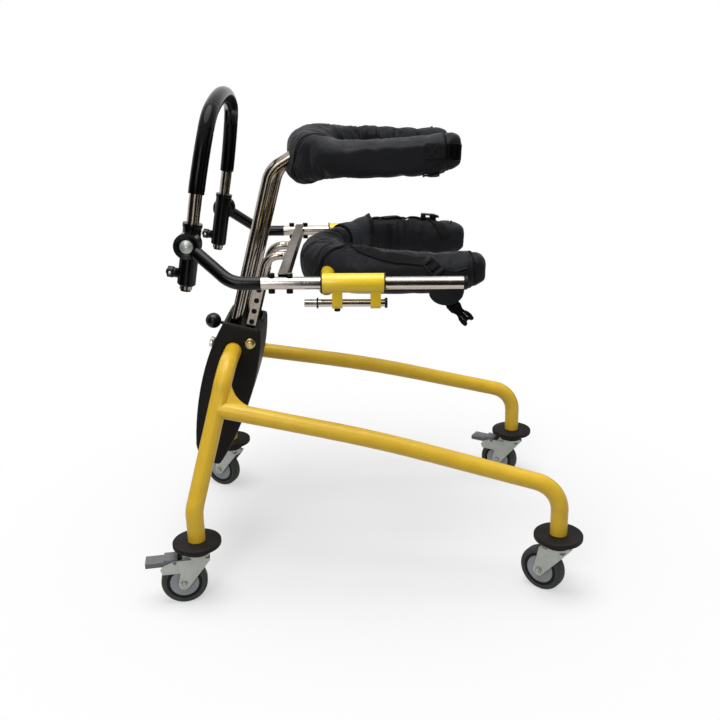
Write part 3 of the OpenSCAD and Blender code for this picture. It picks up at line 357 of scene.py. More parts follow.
def new_group(name, inputs, outputs):
    group = bpy.data.node_groups.new(name, "ShaderNodeTree")
    for kind, label, default in inputs:
        socket = group.interface.new_socket(label, in_out="INPUT", socket_type="NodeSocket" + kind)
        socket.default_value = default
    for kind, label in outputs:
        group.interface.new_socket(label, in_out="OUTPUT", socket_type="NodeSocket" + kind)
    return group, node(group, "NodeGroupInput"), node(group, "NodeGroupOutput")


mottle, given, result = new_group(
    "mottle",
    [("Color", "Colour", GREY), ("Color", "Patches", GREY),
     ("Float", "Scale", 12.0), ("Float", "Amount", 0.5)],
    [("Color", "Colour")])
place = node(mottle, "ShaderNodeTexCoord")
cloud = node(mottle, "ShaderNodeTexNoise", Detail=6.0, Roughness=0.62)
sharpen = node(mottle, "ShaderNodeMapRange", From_Min=0.38, From_Max=0.68)
scaled = node(mottle, "ShaderNodeMath", operation="MULTIPLY")
blend = node(mottle, "ShaderNodeMix", data_type="RGBA")
wires(mottle,
      (place, "Object", cloud, "Vector"), (given, "Scale", cloud, "Scale"), (cloud, "Fac", sharpen, "Value"),
      (sharpen, "Result", scaled, 0), (given, "Amount", scaled, 1), (scaled, 0, blend, "Factor"),
      (given, "Colour", blend, "A"), (given, "Patches", blend, "B"), (blend, "Result", result, "Colour"))

grain, given, result = new_group(
    "grain",
    [("Float", "Scale", 300.0), ("Float", "Low", 0.3), ("Float", "High", 0.5),
     ("Float", "Smudge scale", 18.0)],
    [("Float", "Roughness"), ("Float", "Height")])
place = node(grain, "ShaderNodeTexCoord")
fine = node(grain, "ShaderNodeTexNoise", Detail=3.0, Roughness=0.55)
smudge = node(grain, "ShaderNodeTexNoise", Detail=5.0, Roughness=0.6)
spread = node(grain, "ShaderNodeMapRange", From_Min=0.3, From_Max=0.7)
wires(grain,
      (place, "Object", fine, "Vector"), (place, "Object", smudge, "Vector"),
      (given, "Scale", fine, "Scale"), (given, "Smudge scale", smudge, "Scale"),
      (smudge, "Fac", spread, "Value"),
      (given, "Low", spread, "To Min"), (given, "High", spread, "To Max"),
      (spread, "Result", result, "Roughness"), (fine, "Fac", result, "Height"))
print("groups", mottle.name, grain.name)

# %% Weave and ribs
weave, given, result = new_group(
    "cloth_weave",
    [("Float", "Thread scale", 900.0), ("Float", "Crease scale", 60.0)],
    [("Float", "Thread"), ("Float", "Crease")])
place = node(weave, "ShaderNodeTexCoord")
threads = []
for direction in ("X", "Y", "Z"):
    wave = node(weave, "ShaderNodeTexWave", wave_type="BANDS", bands_direction=direction, Distortion=0.4)
    wires(weave, (place, "Object", wave, "Vector"), (given, "Thread scale", wave, "Scale"))
    threads.append(wave)
pair = node(weave, "ShaderNodeMath", operation="ADD")
total = node(weave, "ShaderNodeMath", operation="ADD")
crease = node(weave, "ShaderNodeTexNoise", Detail=4.0, Roughness=0.55, Distortion=0.8)
wires(weave,
      (threads[0], "Fac", pair, 0), (threads[1], "Fac", pair, 1),
      (pair, 0, total, 0), (threads[2], "Fac", total, 1),
      (place, "Object", crease, "Vector"), (given, "Crease scale", crease, "Scale"),
      (total, 0, result, "Thread"), (crease, "Fac", result, "Crease"))

ribs, given, result = new_group(
    "webbing_ribs", [("Float", "Ribs", 40.0), ("Float", "Picks", 60.0)], [("Float", "Height")])
place = node(ribs, "ShaderNodeTexCoord")
lengthwise = node(ribs, "ShaderNodeTexWave", wave_type="BANDS", bands_direction="Y", Distortion=0.0)
crosswise = node(ribs, "ShaderNodeTexWave", wave_type="BANDS", bands_direction="DIAGONAL", Distortion=0.3)
both = node(ribs, "ShaderNodeMath", operation="MULTIPLY")
wires(ribs,
      (place, "UV", lengthwise, "Vector"), (place, "UV", crosswise, "Vector"),
      (given, "Ribs", lengthwise, "Scale"), (given, "Picks", crosswise, "Scale"),
      (lengthwise, "Fac", both, 0), (crosswise, "Fac", both, 1), (both, 0, result, "Height"))
print("groups", [g.name for g in bpy.data.node_groups])

# %% [markdown]
# ## Finishes
# A finish is a Principled shader fed by the groups. Colours are written as the photograph shows them
# under plain light. Each has patches, with their colour, scale and strength, a range of roughness,
# and a grain with its scale and depth. Cloth gets a weave on top, and webbing gets ribs.

# %% Making a finish


def shade(r, g, b):
    linear = []
    for c in (r, g, b):
        c = c / 255
        linear.append(c / 12.92 if c <= 0.04045 else ((c + 0.055) / 1.055) ** 2.4)
    return (*linear, 1)


def finish_of(name, colour, patches, rough, grains, smudge=18.0, **shader):
    made = bpy.data.materials.new(name)
    tree = tree_of(made)
    out = node(tree, "ShaderNodeOutputMaterial")
    surface = node(tree, "ShaderNodeBsdfPrincipled", **shader)
    colours = node(tree, "ShaderNodeGroup", node_tree=mottle, Colour=colour,
                   Patches=patches[0], Scale=patches[1], Amount=patches[2])
    feel = node(tree, "ShaderNodeGroup", node_tree=grain, Scale=grains[0],
                Low=rough[0], High=rough[1], Smudge_scale=smudge)
    relief = node(tree, "ShaderNodeBump", Strength=grains[1], Distance=0.0006)
    wires(tree,
          (colours, "Colour", surface, "Base Color"), (feel, "Roughness", surface, "Roughness"),
          (feel, "Height", relief, "Height"), (relief, "Normal", surface, "Normal"),
          (surface, 0, out, "Surface"))
    return made


def found(tree, kind):
    return next(n for n in tree.nodes if n.type == kind)


def add_weave(finish, thread_scale, crease_scale, depth):
    tree = finish.node_tree
    surface = found(tree, "BSDF_PRINCIPLED")
    under = found(tree, "BUMP")
    cloth = node(tree, "ShaderNodeGroup", node_tree=weave,
                 Thread_scale=thread_scale, Crease_scale=crease_scale)
    creases = node(tree, "ShaderNodeBump", Strength=0.14, Distance=0.0025)
    threads = node(tree, "ShaderNodeBump", Strength=depth, Distance=0.0004)
    wires(tree,
          (cloth, "Crease", creases, "Height"), (cloth, "Thread", threads, "Height"),
          (under, "Normal", creases, "Normal"), (creases, "Normal", threads, "Normal"),
          (threads, "Normal", surface, "Normal"))
    return finish


def add_ribs(finish, rib_scale, pick_scale):
    tree = finish.node_tree
    surface = found(tree, "BSDF_PRINCIPLED")
    under = found(tree, "BUMP")
    band = node(tree, "ShaderNodeGroup", node_tree=ribs, Ribs=rib_scale, Picks=pick_scale)
    relief = node(tree, "ShaderNodeBump", Strength=0.6, Distance=0.0006)
    wires(tree,
          (band, "Height", relief, "Height"), (under, "Normal", relief, "Normal"),
          (relief, "Normal", surface, "Normal"))
    return finish


# %% Paint, plastic and rubber
frame_yellow = finish_of(
    "frame_yellow", shade(236, 194, 50), patches=(shade(220, 176, 42), 26, 0.55), rough=(0.30, 0.44),
    grains=(420, 0.25), Specular_IOR_Level=0.35, Coat_Weight=0.15, Coat_Roughness=0.2)
clamp_yellow = finish_of(
    "clamp_yellow", shade(242, 206, 46), patches=(shade(230, 190, 38), 18, 0.4), rough=(0.22, 0.32),
    grains=(700, 0.06), Specular_IOR_Level=0.35, Coat_Weight=0.15, Coat_Roughness=0.12)
satin_black = finish_of(
    "satin_black", shade(8, 8, 9), patches=(shade(13, 13, 14), 30, 0.5), rough=(0.17, 0.27),
    grains=(900, 0.06), Specular_IOR_Level=0.2)
moulded_black = finish_of(
    "moulded_black", shade(26, 25, 25), patches=(shade(34, 33, 32), 24, 0.5), rough=(0.42, 0.58),
    grains=(800, 0.25), Specular_IOR_Level=0.14)
knob_black = finish_of(
    "knob_black", shade(16, 16, 17), patches=(shade(24, 24, 25), 24, 0.4), rough=(0.18, 0.28),
    grains=(600, 0.05), Specular_IOR_Level=0.3)
grip_black = finish_of(
    "grip_black", shade(5, 5, 6), patches=(shade(9, 9, 10), 30, 0.5), rough=(0.14, 0.22),
    grains=(700, 0.04), Specular_IOR_Level=0.1)
bumper_rubber = finish_of(
    "bumper_rubber", shade(27, 24, 22), patches=(shade(38, 34, 31), 30, 0.6), rough=(0.46, 0.62),
    grains=(600, 0.25), Specular_IOR_Level=0.16)
tyre_rubber = finish_of(
    "tyre_rubber", shade(66, 70, 66), patches=(shade(82, 85, 79), 45, 0.7), rough=(0.52, 0.72),
    grains=(700, 0.3), Specular_IOR_Level=0.2)
tyre_inner = finish_of(
    "tyre_inner", shade(24, 25, 26), patches=(shade(36, 36, 36), 45, 0.6), rough=(0.5, 0.66),
    grains=(700, 0.25), Specular_IOR_Level=0.15)
hub_grey = finish_of(
    "hub_grey", shade(168, 170, 176), patches=(shade(152, 154, 160), 60, 0.6), rough=(0.36, 0.5),
    grains=(700, 0.12), Specular_IOR_Level=0.35)
pedal_grey = finish_of(
    "pedal_grey", shade(118, 119, 121), patches=(shade(100, 101, 104), 60, 0.6), rough=(0.42, 0.56),
    grains=(800, 0.2), Specular_IOR_Level=0.25)
print("paint and plastic", len(bpy.data.materials))

# %% Metal
# Chrome's broad dim patches are painted shade: they stand in for darker reflections along parts of the tubes
chrome = finish_of(
    "chrome", shade(200, 194, 185), patches=(shade(156, 148, 139), 9, 0.7), rough=(0.12, 0.21),
    grains=(300, 0.01), smudge=45.0, Metallic=1.0)
# The same chrome painted darker: painted shade for the tubes whose reflections look dark
chrome_with_painted_shade = finish_of(
    "chrome_with_painted_shade", shade(166, 157, 147), patches=(shade(132, 123, 113), 40, 0.6), rough=(0.12, 0.22),
    grains=(300, 0.01), smudge=45.0, Metallic=1.0)
# Steel colour darkened with painted shade: the crossbar looks dark because it reflects the black pad
steel_with_painted_shade = finish_of(
    "steel_with_painted_shade", shade(134, 126, 118), patches=(shade(110, 102, 94), 40, 0.6), rough=(0.3, 0.42),
    grains=(300, 0.03), smudge=45.0, Metallic=1.0)
zinc = finish_of(
    "zinc", shade(188, 191, 184), patches=(shade(166, 169, 163), 60, 0.5), rough=(0.34, 0.46),
    grains=(900, 0.06), smudge=40.0, Metallic=0.55)
bolt_yellow = finish_of(
    "bolt_yellow", shade(208, 190, 132), patches=(shade(170, 150, 100), 160, 0.7), rough=(0.2, 0.36),
    grains=(900, 0.08), smudge=70.0, Metallic=1.0)
print("with metal", len(bpy.data.materials))

# %% Cloth, webbing and buckles
pad_nylon = finish_of(
    "pad_nylon", shade(20, 21, 25), patches=(shade(27, 28, 33), 22, 0.5), rough=(0.42, 0.58),
    grains=(500, 0.1), Sheen_Weight=0.06, Sheen_Roughness=0.4, Specular_IOR_Level=0.13)
add_weave(pad_nylon, 480, 46, 0.3)
flap_nylon = finish_of(
    "flap_nylon", shade(32, 34, 40), patches=(shade(40, 42, 48), 22, 0.5), rough=(0.5, 0.64),
    grains=(500, 0.1), Sheen_Weight=0.08, Sheen_Roughness=0.45, Specular_IOR_Level=0.13)
add_weave(flap_nylon, 420, 40, 0.35)
binding_black = finish_of(
    "binding_black", shade(15, 15, 16), patches=(shade(22, 22, 23), 40, 0.5), rough=(0.55, 0.7),
    grains=(700, 0.2), Specular_IOR_Level=0.1)
add_weave(binding_black, 700, 70, 0.5)
webbing_black = finish_of(
    "webbing_black", shade(13, 13, 14), patches=(shade(20, 20, 22), 60, 0.5), rough=(0.5, 0.66),
    grains=(900, 0.15), Specular_IOR_Level=0.12)
add_ribs(webbing_black, 24, 60)
buckle_black = finish_of(
    "buckle_black", shade(10, 10, 11), patches=(shade(16, 16, 17), 40, 0.5), rough=(0.26, 0.4),
    grains=(900, 0.08), Specular_IOR_Level=0.12)
thread_grey = finish_of(
    "thread_grey", shade(54, 54, 58), patches=(shade(68, 68, 72), 300, 0.5), rough=(0.5, 0.65),
    grains=(1500, 0.1), Specular_IOR_Level=0.2)
print("with cloth", len(bpy.data.materials))

# %% [markdown]
# ## Finishes on the solids
# Every solid gets its finish, also those that a better form stands in for later. Those whose shape is
# already right are only painted.

# %% Paint the solids
PAINT = [
    (frame_yellow, ["left_frame", "right_frame"]),
    (clamp_yellow, ["left_clamp", "right_clamp"]),
    (satin_black, ["left_arm", "right_arm", "left_sleeve", "right_sleeve", "left_plunger", "right_plunger"]),
    (moulded_black, ["castor_sockets", "guide_block", "cover_left", "cover_right", "side_tube_caps",
                     "clamp_bushes", "rod_rings", "handlebar_plugs"]),
    (knob_black, ["ball_knob", "side_tube_bolts"]),
    (grip_black, ["handlebar_grip"]),
    (chrome, ["side_tubes", "clamp_rods", "rod_nuts", "front_bolt"]),
    (chrome_with_painted_shade, ["chest_tubes", "hole_bars", "crossbar", "handlebar"]),
    (zinc, ["joint_screws"] + [corner + part for corner in CORNERS for part in ("_fork", "_axle")]),
    (bumper_rubber, ["bumpers"]),
    (tyre_rubber, [corner + "_tyre" for corner in CORNERS]),
    (hub_grey, [corner + "_hub" for corner in CORNERS]),
    (pedal_grey, ["front_left_pedal", "rear_right_pedal"]),
    (pad_nylon, ["chest_pad", "pelvic_pad"]),
    (webbing_black, ["chest_strap", "pelvic_straps"]),
    (buckle_black, ["chest_buckle", "ladder_buckle", "buckle_socket", "buckle_plug"]),
    (bolt_yellow, ["cover_bolts"])]
for finish, names in PAINT:
    for name in names:
        solid = frame["nodes"][name]
        solid.data.materials.clear()
        solid.data.materials.append(finish)
print("not painted:", sorted(set(frame["nodes"]) - {name for finish, names in PAINT for name in names}))

# %% [markdown]
# ## Finding a place on a pad
# Each pad is a nylon tube, stuffed firmly and bent into a U. A place on it is told by how far it lies
# along the U from the middle of the front, with the near arm positive, and by its angle round the
# section, where 0 is the outer side, 90 the top and 180 the inner side.

# %% Pad coordinates


def to_pad(pad, points):
    return (np.asarray(points) - np.array(pad["origin"])) @ np.array(pad["turn"]) / MM


def from_pad(pad, local):
    return local * MM @ np.array(pad["turn"]).T + np.array(pad["origin"])


def pad_point(pad, along, across, height):
    rm = (pad["width"] + pad["space"]) / 4
    half = (pad["width"] - pad["space"]) / 4
    co = -pad["width"] / 2
    ci = -pad["front"] - pad["space"] / 2
    cm = (co + ci) / 2
    quarter = rm * math.pi / 2
    if abs(along) <= quarter:
        a = along / rm
        mid = Vector((cm + rm * math.cos(a), rm * math.sin(a), 0))
        out_way = Vector(((co - ci) / 2 + half * math.cos(a), half * math.sin(a), 0))
    else:
        side = 1 if along > 0 else -1
        mid = Vector((cm - (abs(along) - quarter), side * rm, 0))
        out_way = Vector((0, side * half, 0))
    local = mid + out_way * across + Vector((0, 0, pad["height"] / 2 * height))
    return pad["origin"] + pad["turn"] @ local * MM


def pad_measures(pad, points):
    local = to_pad(pad, points)
    x, y, z = local.T
    ro = pad["width"] / 2
    ri = pad["space"] / 2
    co = -ro
    ci = -pad["front"] - ri
    cm = (co + ci) / 2
    rm = (ro + ri) / 2
    d_out = np.where(x > co, ro - np.hypot(x - co, y), ro - np.abs(y))
    d_in = np.where(x > ci, np.hypot(x - ci, y) - ri, np.abs(y) - ri)
    across = 2 * d_in / np.maximum(d_in + d_out, 1) - 1
    bend = np.arctan2(y, np.maximum(x - cm, 0.001))
    along = np.where(x > cm, rm * bend, np.sign(y) * (rm * math.pi / 2 + cm - x))
    angle = np.degrees(np.arctan2(z / (pad["height"] / 2), across))
    return along, angle, local


print("near arm of the chest pad ends near", pad_point(chest, 360, 0, 0))

# %% [markdown]
# ## The stuffed covers
# The solid gives a pad its form. A copy is made a little smaller, remeshed evenly and blown up with
# cloth pressure, with the seam lines held, so that the cover bulges between its seams. How far a point
# may move is capped, and the sides stay within the solid's width.

# %% Cloth pressure
CLOTH = dict(quality=5, mass=0.3, tension_stiffness=12, compression_stiffness=6, shear_stiffness=4,
             bending_stiffness=0.2, use_pressure=True, uniform_pressure_force=5.0, shrink_min=-0.04,
             vertex_group_mass="seams")
CLOTH_FRAMES = 20
SWELL_CAP = 6 * MM
SIDE_PLAY = 2.5
INNER_SEAM_ANGLE = 128
END_SEAM = 14


def near(value, target, reach):
    return np.abs(value - target) < reach


def swell(cover, pad):
    before = coords(cover)
    along, angle, local = pad_measures(pad, before)
    held = near(angle, INNER_SEAM_ANGLE, 5) | near(np.abs(along), pad["front_seam"], 3)
    held = held | near(local[:, 0], END_SEAM - pad["reach"], 3)
    group = cover.vertex_groups.new(name="seams")
    group.add([int(index) for index in np.nonzero(held)[0]], 1.0, "REPLACE")
    pick(cover)
    stuffing = cover.modifiers.new("stuffing", "CLOTH")
    for key, value in CLOTH.items():
        setattr(stuffing.settings, key, value)
    stuffing.settings.effector_weights.gravity = 0
    stuffing.point_cache.frame_start = 1
    stuffing.point_cache.frame_end = CLOTH_FRAMES
    for step in range(1, CLOTH_FRAMES + 1):
        bpy.context.scene.frame_set(step)
    bpy.ops.object.modifier_apply(modifier="stuffing")
    bpy.context.scene.frame_set(1)
    shift = coords(cover) - before
    length = np.linalg.norm(shift, axis=1, keepdims=True)
    shift = shift * np.minimum(1, SWELL_CAP / np.maximum(length, 1e-9))
    local = to_pad(pad, before + shift)
    side = pad["width"] / 2 + SIDE_PLAY
    local[:, 1] = np.clip(local[:, 1], -side, side)
    set_coords(cover, from_pad(pad, local))
    cover.vertex_groups.clear()
    print(cover.name, "swelled by up to", round(float(np.linalg.norm(shift, axis=1).max()) / MM, 1), "mm")


# %% [markdown]
# ## Ends and heights
# An arm is drawn in where it is sewn shut, more from below than from above. Stuffing is never even, so
# each arm is then drawn to the heights that the real one shows along its length.

# %% Ends, heights and the two covers
END_ROUND = 74
ARM_START = 25
ARM_BLEND = 70
COVER_VOXEL = 4.5 * MM
COVER_SHRINK = 0.5 * MM


def round_ends(cover, pad):
    local = to_pad(pad, coords(cover))
    middle = np.sign(local[:, 1]) * (pad["width"] + pad["space"]) / 4
    near_end = np.clip((-local[:, 0] - pad["reach"] + END_ROUND) / END_ROUND, 0, 1)
    drawn_in = 1 - 0.3 * near_end ** 3
    local[:, 1] = middle + (local[:, 1] - middle) * drawn_in
    rise = np.where(local[:, 2] < 0, 1 - pad["end_cut"] * near_end ** 2, 1 - 0.12 * near_end ** 4)
    local[:, 2] = local[:, 2] * rise
    set_coords(cover, from_pad(pad, local))


def fit_profile(cover, pad, side, places, tops, lows):
    local = to_pad(pad, coords(cover))
    x, y, z = local.T
    step = 20
    centres = np.arange(-pad["reach"] + END_ROUND, -pad["front"] * 0.4, step)
    mine = side * y > ARM_START
    top_now = [z[mine & (np.abs(x - c) < step)].max() for c in centres]
    low_now = [z[mine & (np.abs(x - c) < step)].min() for c in centres]
    share_top = np.interp(x, places, tops) / np.interp(x, centres, top_now)
    share_low = np.interp(x, places, lows) / np.interp(x, centres, low_now)
    blend = np.clip(side * y / ARM_BLEND, 0, 1)
    blend = blend * blend * (3 - 2 * blend)
    local[:, 2] = z * (1 + (np.where(z > 0, share_top, share_low) - 1) * blend)
    set_coords(cover, from_pad(pad, local))


def stuffed_cover(solid, name, pad, profiles):
    cover = copy_of_node(solid, name)
    add_modifier(cover, "SUBSURF", levels=2, render_levels=2)
    add_modifier(cover, "DISPLACE", strength=-COVER_SHRINK, mid_level=0)
    remesh(cover, COVER_VOXEL)
    round_ends(cover, pad)
    swell(cover, pad)
    for profile in profiles:
        fit_profile(cover, pad, *profile)
    add_modifier(cover, "SMOOTH", factor=0.5, iterations=3)
    add_modifier(cover, "SUBSURF", levels=1, render_levels=1)
    return cover


CHEST_PROFILES = [
    (1, (-343, -312, -250, -190, -128, -100, -40),
     (45, 42, 38, 36, 36, 39, 56), (-39, -40, -42, -43, -45, -47, -58)),
    (-1, (-357, -301, -232, -162, -96, -40), (38, 40, 46, 51, 58, 60), (-36, -38, -38, -38, -42, -52))]
PELVIC_PROFILES = [
    (1, (-345, -295, -258, -196, -134, -72), (45, 44, 45, 50, 52, 50), (-40, -40, -40, -42, -47, -52)),
    (-1, (-372, -330, -285, -226, -171, -120, -60),
     (46, 53, 59, 62, 61, 55, 48), (-40, -40, -40, -40, -42, -46, -50))]
chest_cover = stuffed_cover("chest_pad", "chest_pad_cover", chest, CHEST_PROFILES)
pelvic_cover = stuffed_cover("pelvic_pad", "pelvic_pad_cover", pelvic, PELVIC_PROFILES)

# %% [markdown]
# ## Gathers and seams
# Where the cover is drawn together along the inner edge, it puckers in short pleats, and at the front
# longer creases run round the bend. Each pleat is a narrow valley with its own place, length and
# slant. Most come from a seeded list, so the result is the same on each run, and the ones that stand
# out are listed one by one. Seams are fine all-round valleys, and a few bulges fill the front corners.

# %% Pressing pleats into a cover


def pleat_list(seed, start, end, count, angle, spread, depth):
    source = random.Random(seed)
    made = []
    for index in range(count):
        place = start + (end - start) * (index + source.uniform(0.15, 0.85)) / count
        made.append((
            place, source.uniform(2.2, 4.6), source.uniform(0.5, 1.0) * depth, angle + source.uniform(-8, 8),
            spread * source.uniform(0.6, 1.4), source.uniform(-0.12, 0.12)))
    return made


def press_pleats(cover, pad, pleats, seams, bulges, wobble):
    points = coords(cover)
    along, angle, local = pad_measures(pad, points)
    push = np.zeros(len(points))
    for place, width, depth, middle, spread, slant in pleats:
        turn = (angle - middle + 180) % 360 - 180
        line = along - place - slant * turn
        valley = np.exp(-(line / width) ** 2) - 0.45 * np.exp(-((np.abs(line) - 2.2 * width) / width) ** 2)
        push -= depth * valley * np.exp(-(turn / spread) ** 2)
    for place, width, depth, slant in seams:
        line = along - place - slant * np.clip(angle, -90, 90)
        push -= depth * np.exp(-(line / width) ** 2)
        push += 0.5 * depth * np.exp(-((np.abs(line) - 3 * width) / (1.6 * width)) ** 2)
    for place, width, height, middle, spread in bulges:
        turn = (angle - middle + 180) % 360 - 180
        push += height * np.exp(-((along - place) / width) ** 2 - (turn / spread) ** 2)
    round_way = np.radians(angle)
    push += wobble * np.sin(along / 31 + round_way * 2) * np.sin(along / 53 + 1.3 + round_way)
    set_coords(cover, points + coords(cover, "normal") * push[:, None] * MM)
    smooth(cover, 60)


# %% Pleats of both pads
chest_pleats = (
    pleat_list(3, -330, -120, 7, 164, 34, 1.8) + pleat_list(4, -120, 120, 12, 150, 36, 2.4)
    + pleat_list(5, 120, 300, 14, 126, 18, 1.4) + pleat_list(6, 100, 330, 14, -104, 20, 1.8)
    + pleat_list(7, -110, 110, 7, 64, 34, 0.8) + pleat_list(8, 40, 120, 4, -110, 30, 2.0)
    + [(-150, 3.4, 4.6, 162, 42, 0.02), (-162, 3.0, 4.2, 162, 42, 0.0), (-174, 3.2, 3.2, 162, 42, 0.03),
       (-226, 3.2, 3.6, 162, 38, 0.0), (-264, 3.0, 3.0, 162, 38, 0.05), (-104, 5.0, 5.0, 154, 46, 0.1),
       (-118, 4.2, 4.4, 156, 44, 0.06), (60, 5.0, 3.4, 118, 40, 0.3), (84, 4.4, 3.0, 112, 36, 0.2)])
chest_bulges = [
    (48, 40, 8, -54, 24), (-48, 40, 6, -54, 24), (18, 40, 5, -32, 18), (-18, 40, 5, -32, 18),
    (70, 8, 3, -70, 16), (42, 8, 2.4, -74, 16)]
chest_seams = [
    (66, 1.5, 1.8, 0.36), (-66, 1.5, 1.8, 0.36), (356, 1.4, 1.3, 0), (-356, 1.4, 1.3, 0), (314, 1.1, 0.8, 0)]
press_pleats(chest_cover, chest, chest_pleats, chest_seams, chest_bulges, 0.5)
pelvic_pleats = (
    pleat_list(13, -330, -150, 6, 160, 44, 1.8) + pleat_list(14, -150, 150, 7, 154, 38, 2.6)
    + pleat_list(15, 150, 330, 7, 112, 20, 1.4) + pleat_list(16, -140, 140, 3, 60, 44, 1.2)
    + pleat_list(17, 30, 170, 3, 70, 60, 2.0)
    + [(-283, 4.0, 3.2, 140, 60, 0.1), (-300, 3.4, 2.4, 140, 56, 0.06), (-256, 3.6, 2.6, 160, 50, 0.08),
       (-62, 5.0, 4.2, 132, 60, 0.12), (-84, 4.4, 4.0, 132, 60, 0.16), (-36, 5.0, 3.6, 126, 56, 0.1),
       (150, 4.6, 3.2, 96, 44, 0.35), (24, 4.6, 3.0, 120, 50, -0.1)])
pelvic_bulges = [(110, 55, 7, -88, 36), (-110, 55, 7, -88, 36), (0, 60, 4, -88, 36)]
pelvic_seams = [(114, 1.8, 2.4, 0.38), (-114, 1.8, 2.4, 0.38), (410, 1.4, 1.3, 0), (-410, 1.4, 1.3, 0)]
press_pleats(pelvic_cover, pelvic, pelvic_pleats, pelvic_seams, pelvic_bulges, 0.6)
COVERS = [(chest_cover, "chest_pad", "chest", 0.85), (pelvic_cover, "pelvic_pad", "pelvic_carriage", 0.8)]
for cover, solid, body, fill in COVERS:
    dress(cover, pad_nylon, "pad", body, solid)
    print(cover.name, len(cover.data.polygons), "faces")

# %% [markdown]
# ## Webbing and flaps that lie on a cover
# A strap on a pad follows its surface. The section's middle is known, so a ray sent outwards from it
# finds the cover at any place and angle. A grid is laid over such places and given a thickness.
# Its own UV map runs along the strap, which the webbing finish reads.

# %% Draping helpers
DEGREE_MM = 0.75
EDGE_SHARE = 0.3


def on_cover(cover, pad, along, degrees, lift):
    turn = math.radians(degrees)
    middle = pad_point(pad, along, 0, 0)
    way = pad_point(pad, along, math.cos(turn), math.sin(turn)) - middle
    hit, place, normal, face = cover.ray_cast(middle, way.normalized())
    if not hit:
        place = middle + way
        normal = way.normalized()
    return place + normal * lift * MM


def strip(name, place_of, cuts, thick, relax=0):
    bpy.ops.object.select_all(action="DESELECT")
    bpy.ops.mesh.primitive_grid_add(x_subdivisions=cuts[0], y_subdivisions=cuts[1], size=1)
    piece = bpy.context.object
    piece.name = name
    set_coords(piece, [place_of(x + 0.5, y + 0.5) for x, y, z in coords(piece)])
    if relax:
        add_modifier(piece, "SMOOTH", factor=0.5, iterations=relax)
    add_modifier(piece, "SOLIDIFY", thickness=thick * MM, offset=0)
    round_edges(piece, thick * EDGE_SHARE, 1.0)
    clean(piece)
    return smooth(piece, 50)


def draped(cover, pad, path, width, lift):
    stations = np.array(path, float)
    steps = np.hypot(np.diff(stations[:, 0]), np.diff(stations[:, 1]) * DEGREE_MM)
    travel = np.concatenate([[0], np.cumsum(steps)]) / steps.sum()

    def where(u):
        along = np.interp(u, travel, stations[:, 0])
        return np.array([along, np.interp(u, travel, stations[:, 1]) * DEGREE_MM])

    def place_of(u, v):
        way = where(min(u + 0.04, 1)) - where(max(u - 0.04, 0))
        way = way / np.linalg.norm(way)
        spot = where(u) + np.array([-way[1], way[0]]) * (v - 0.5) * width
        return on_cover(cover, pad, spot[0], spot[1] / DEGREE_MM, lift)

    return place_of


def seat_on(cover, pad, along, degrees, lift, spin=0.0):
    place = on_cover(cover, pad, along, degrees, lift)
    ahead = on_cover(cover, pad, along + 12, degrees, lift) - on_cover(cover, pad, along - 12, degrees, lift)
    aside = on_cover(cover, pad, along, degrees + 14, lift) - on_cover(cover, pad, along, degrees - 14, lift)
    normal = ahead.cross(aside).normalized()
    outward = place - pad_point(pad, along, 0, 0)
    if normal.dot(outward) < 0:
        normal = -normal
    ahead = (ahead - normal * ahead.dot(normal)).normalized()
    aside = normal.cross(ahead)
    matrix = Matrix((ahead, aside, normal)).transposed().to_4x4()
    matrix.translation = place
    return matrix @ Matrix.Rotation(math.radians(spin), 4, "Z")


bpy.context.view_layer.update()
print("side of the chest pad at", on_cover(chest_cover, chest, 320, 10, 0))

# %% [markdown]
# ## Webbing patch of the chest pad
# A webbing patch is sewn to the outer side near the end of the arm and holds a ladder lock. The patch
# has a square of stitches with a cross in it, which is how webbing is sewn to a cover. One stitch is a
# short rounded bar, modelled once and copied along the lines.

# %% Webbing patch and stitches
STITCH_SIZE = (2.6 * MM, 0.75 * MM, 0.75 * MM)
STITCH_PITCH = 4.4
STITCH_BOX = [(314, -3), (314, 29), (338, 29), (338, -3), (314, -3), (338, 29), (338, -3), (314, 29)]


def stitch_line(name, spots, finish, slot, body):
    made = []
    for place, way, normal in spots:
        bpy.ops.mesh.primitive_uv_sphere_add(segments=6, ring_count=4, radius=0.5)
        matrix = Matrix((way, normal.cross(way), normal)).transposed().to_4x4()
        matrix.translation = place
        made.append(put(bpy.context.object, matrix @ Matrix.Diagonal((*STITCH_SIZE, 1))))
    return dress(smooth(joined(name, made), 60), finish, slot, body)


def spots_on(cover, pad, corners, lift):
    spots = []
    for (s0, a0), (s1, a1) in zip(corners[:-1], corners[1:]):
        run = math.hypot(s1 - s0, (a1 - a0) * DEGREE_MM)
        count = max(2, round(run / STITCH_PITCH))
        for k in range(count):
            t = (k + 0.5) / count
            here = on_cover(cover, pad, s0 + (s1 - s0) * t, a0 + (a1 - a0) * t, lift)
            t = min(1.0, t + 0.3 / count)
            there = on_cover(cover, pad, s0 + (s1 - s0) * t, a0 + (a1 - a0) * t, lift)
            way = (there - here).normalized()
            middle = pad_point(pad, s0 + (s1 - s0) * t, 0, 0)
            normal = (here - middle).normalized()
            normal = (normal - way * normal.dot(way)).normalized()
            spots.append((here, way, normal))
    return spots


chest_patch = strip("chest_patch", draped(chest_cover, chest, [(312, 13), (360, 12)], 27, 1.4), (26, 12), 2.2)
dress(chest_patch, webbing_black, "webbing", "chest", "chest_strap")
stitches = spots_on(chest_cover, chest, STITCH_BOX, 2.7)
stitch_line("chest_patch_stitches", stitches, thread_grey, "webbing", "chest")
print(len(stitches), "stitches")

# %% [markdown]
# ## Ladder locks
# A ladder lock is a small moulded frame with two slots and a serrated bar, which grips the webbing.
# It starts as a bevelled block. The slots are cut with a Boolean, and the lip and teeth are added.

# %% Ladder locks


